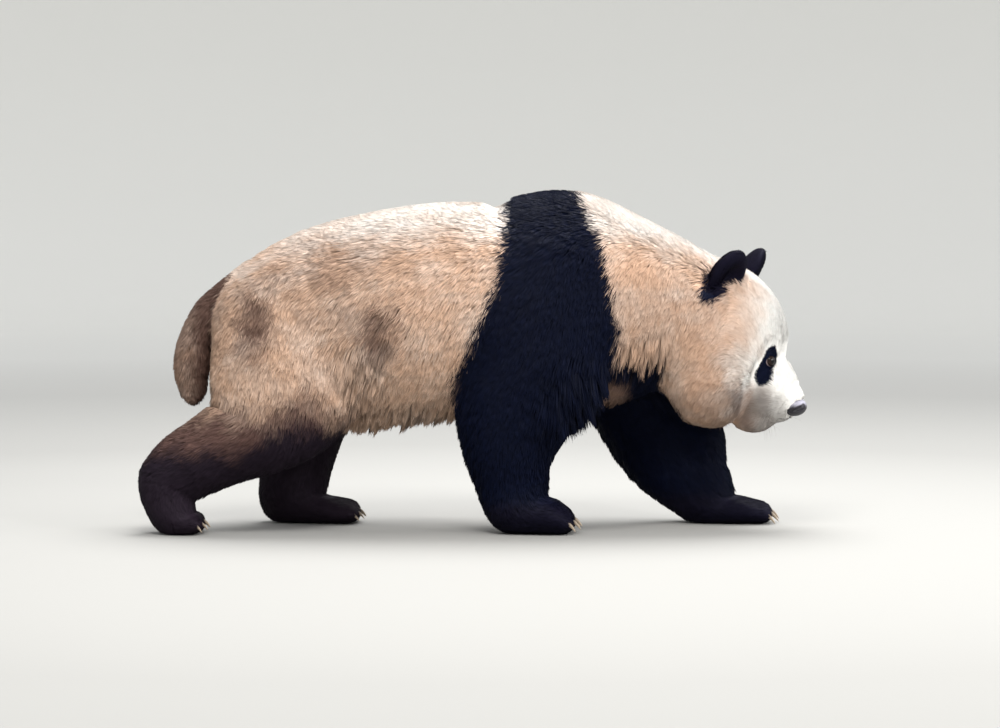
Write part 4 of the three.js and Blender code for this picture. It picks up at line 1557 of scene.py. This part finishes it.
class PANDA_OT_nose(bpy.types.Operator):
    """Makes the nose pad with its nostrils, their slits at the sides and the groove between"""

    bl_idname = "panda.nose"
    bl_label = "Nose"

    def execute(self, context):
        reach = np.array(NOSE_SIZE) + 3.0
        mesh = mesh_of("nose_pad", *surface_net(self.distance, NOSE - reach, NOSE + reach, 1.2))
        local = coordinates(mesh)
        # Painted shade: how deep in the nostrils and the groove a point lies.
        give(mesh, "cavity", fade(self.hollows(local), -2.0, 1.5))
        # Painted reflection: how far up the pad the pale glare is drawn.
        give(mesh, "upper", smooth_step(local[:, 2] - NOSE[2] + 2 * wave(local, 9, 41), -3, 13))
        set_points(mesh, to_metres(from_head(local)))
        mesh.update()
        piece("nose_pad", mesh, nose_material(context.scene.panda), ["nose"])
        return {"FINISHED"}

    def hollows(self, points):
        """The nostrils, each running back into a slit at the side, and the groove between them."""
        p = points - NOSE
        p[:, 1] = np.abs(p[:, 1])
        groove = np.hypot(p[:, 1] / 1.6, p[:, 0] - 28.5) - 1.8 + 0.4 * np.maximum(p[:, 2] + 2, 0)
        return soft_min(along_chain(p, NOSTRIL), groove, 1.0)

    def distance(self, points):
        return soft_max(ellipsoid(points, NOSE, NOSE_SIZE), -self.hollows(points), 1.8)


class PANDA_OT_claws(bpy.types.Operator):
    """Makes the five curved claws of each paw"""

    bl_idname = "panda.claws"
    bl_label = "Claws"

    def execute(self, context):
        material = claw_material(context.scene.panda)
        shape = spike("claw", CLAW_LENGTH, CLAW_RADIUS, CLAW_DROOP, -0.4, flat=0.72)
        for name in LEGS:
            places, turns, sizes = zip(*claw_places(name))
            mesh = copies(f"claws_{name}", to_metres(np.array(places)), turns, sizes, shape, material)
            piece(f"claws_{name}", mesh, material, [f"{name}_claw_{n}" for n in range(1, 6)])
        bpy.data.objects.remove(shape)
        return {"FINISHED"}


class PANDA_OT_whiskers(bpy.types.Operator):
    """Sets the short stiff hairs round the muzzle"""

    bl_idname = "panda.whiskers"
    bl_label = "Whiskers"

    def execute(self, context):
        material = whisker_material()
        shape = spike("whisker", 38, 0.26, 0.012, 0, rings=5, sides=4)
        places, turns, sizes = zip(*whisker_places(np.random.default_rng(context.scene.panda.seed)))
        mesh = copies("whiskers", to_metres(np.array(places)), turns, sizes, shape, material)
        bpy.data.objects.remove(shape)
        piece("whiskers", mesh, material)
        return {"FINISHED"}


class PANDA_OT_coat(bpy.types.Operator):
    """Grows the coat: thin solid tufts over the skin, following the lie of the hair"""

    bl_idname = "panda.coat"
    bl_label = "Coat"

    def execute(self, context):
        settings = context.scene.panda
        rng = np.random.default_rng(settings.seed)
        mesh = bpy.data.objects["skin"].data
        roots, upright = scatter(mesh, from_metres(coordinates(mesh)), normals_of(mesh), rng)
        haired = ~bare(roots, upright)
        lie = Lie(roots[haired], upright[haired])
        made = Tufts(lie, rng, settings.coat_gain)
        material = coat_material(settings)
        left = lie.points[:, 1] >= 0
        for region in REGIONS:
            here = lie.region == region
            halves = {"": here} if region in LEGS else {"_right": here & ~left, "_left": here & left}
            for label, half in halves.items():
                chosen = np.flatnonzero(half)
                if len(chosen) > MOST_TUFTS:
                    raise RuntimeError(f"coat of {region}{label} has {len(chosen)} tufts")
                coat_piece(f"coat_{region}{label}", region, made, lie.points, chosen, material)
        return {"FINISHED"}


class PANDA_PT_panel(bpy.types.Panel):
    """Lists the steps that build the panda"""

    bl_label = "Giant panda"
    bl_idname = "PANDA_PT_panel"
    bl_space_type = "VIEW_3D"
    bl_region_type = "UI"
    bl_category = "Panda"

    def draw(self, context):
        for group in (context.scene.panda_stage, context.scene.panda):
            for name in group.__annotations__:
                self.layout.prop(group, name)
        for step in STEPS:
            self.layout.operator(step.bl_idname)


STEPS = (
    PANDA_OT_stage, PANDA_OT_skin, PANDA_OT_eyes, PANDA_OT_nose, PANDA_OT_claws, PANDA_OT_whiskers,
    PANDA_OT_coat,
)
CLASSES = (PandaSettings, StageSettings, *STEPS, PANDA_PT_panel)


def register():
    for cls in CLASSES:
        bpy.utils.register_class(cls)
    bpy.types.Scene.panda = bpy.props.PointerProperty(type=PandaSettings)
    bpy.types.Scene.panda_stage = bpy.props.PointerProperty(type=StageSettings)


def unregister():
    del bpy.types.Scene.panda_stage
    del bpy.types.Scene.panda
    for cls in reversed(CLASSES):
        bpy.utils.unregister_class(cls)


def main():
    register()
    bpy.ops.panda.stage()
    bpy.ops.panda.skin()
    bpy.ops.panda.eyes()
    bpy.ops.panda.nose()
    bpy.ops.panda.claws()
    bpy.ops.panda.whiskers()
    bpy.ops.panda.coat()
    corners = {"cad": CAD_BOX, "visual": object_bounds()}
    boxes = {name: [list(corner) for corner in pair] for name, pair in corners.items()}


if __name__ == "__main__":
    main()
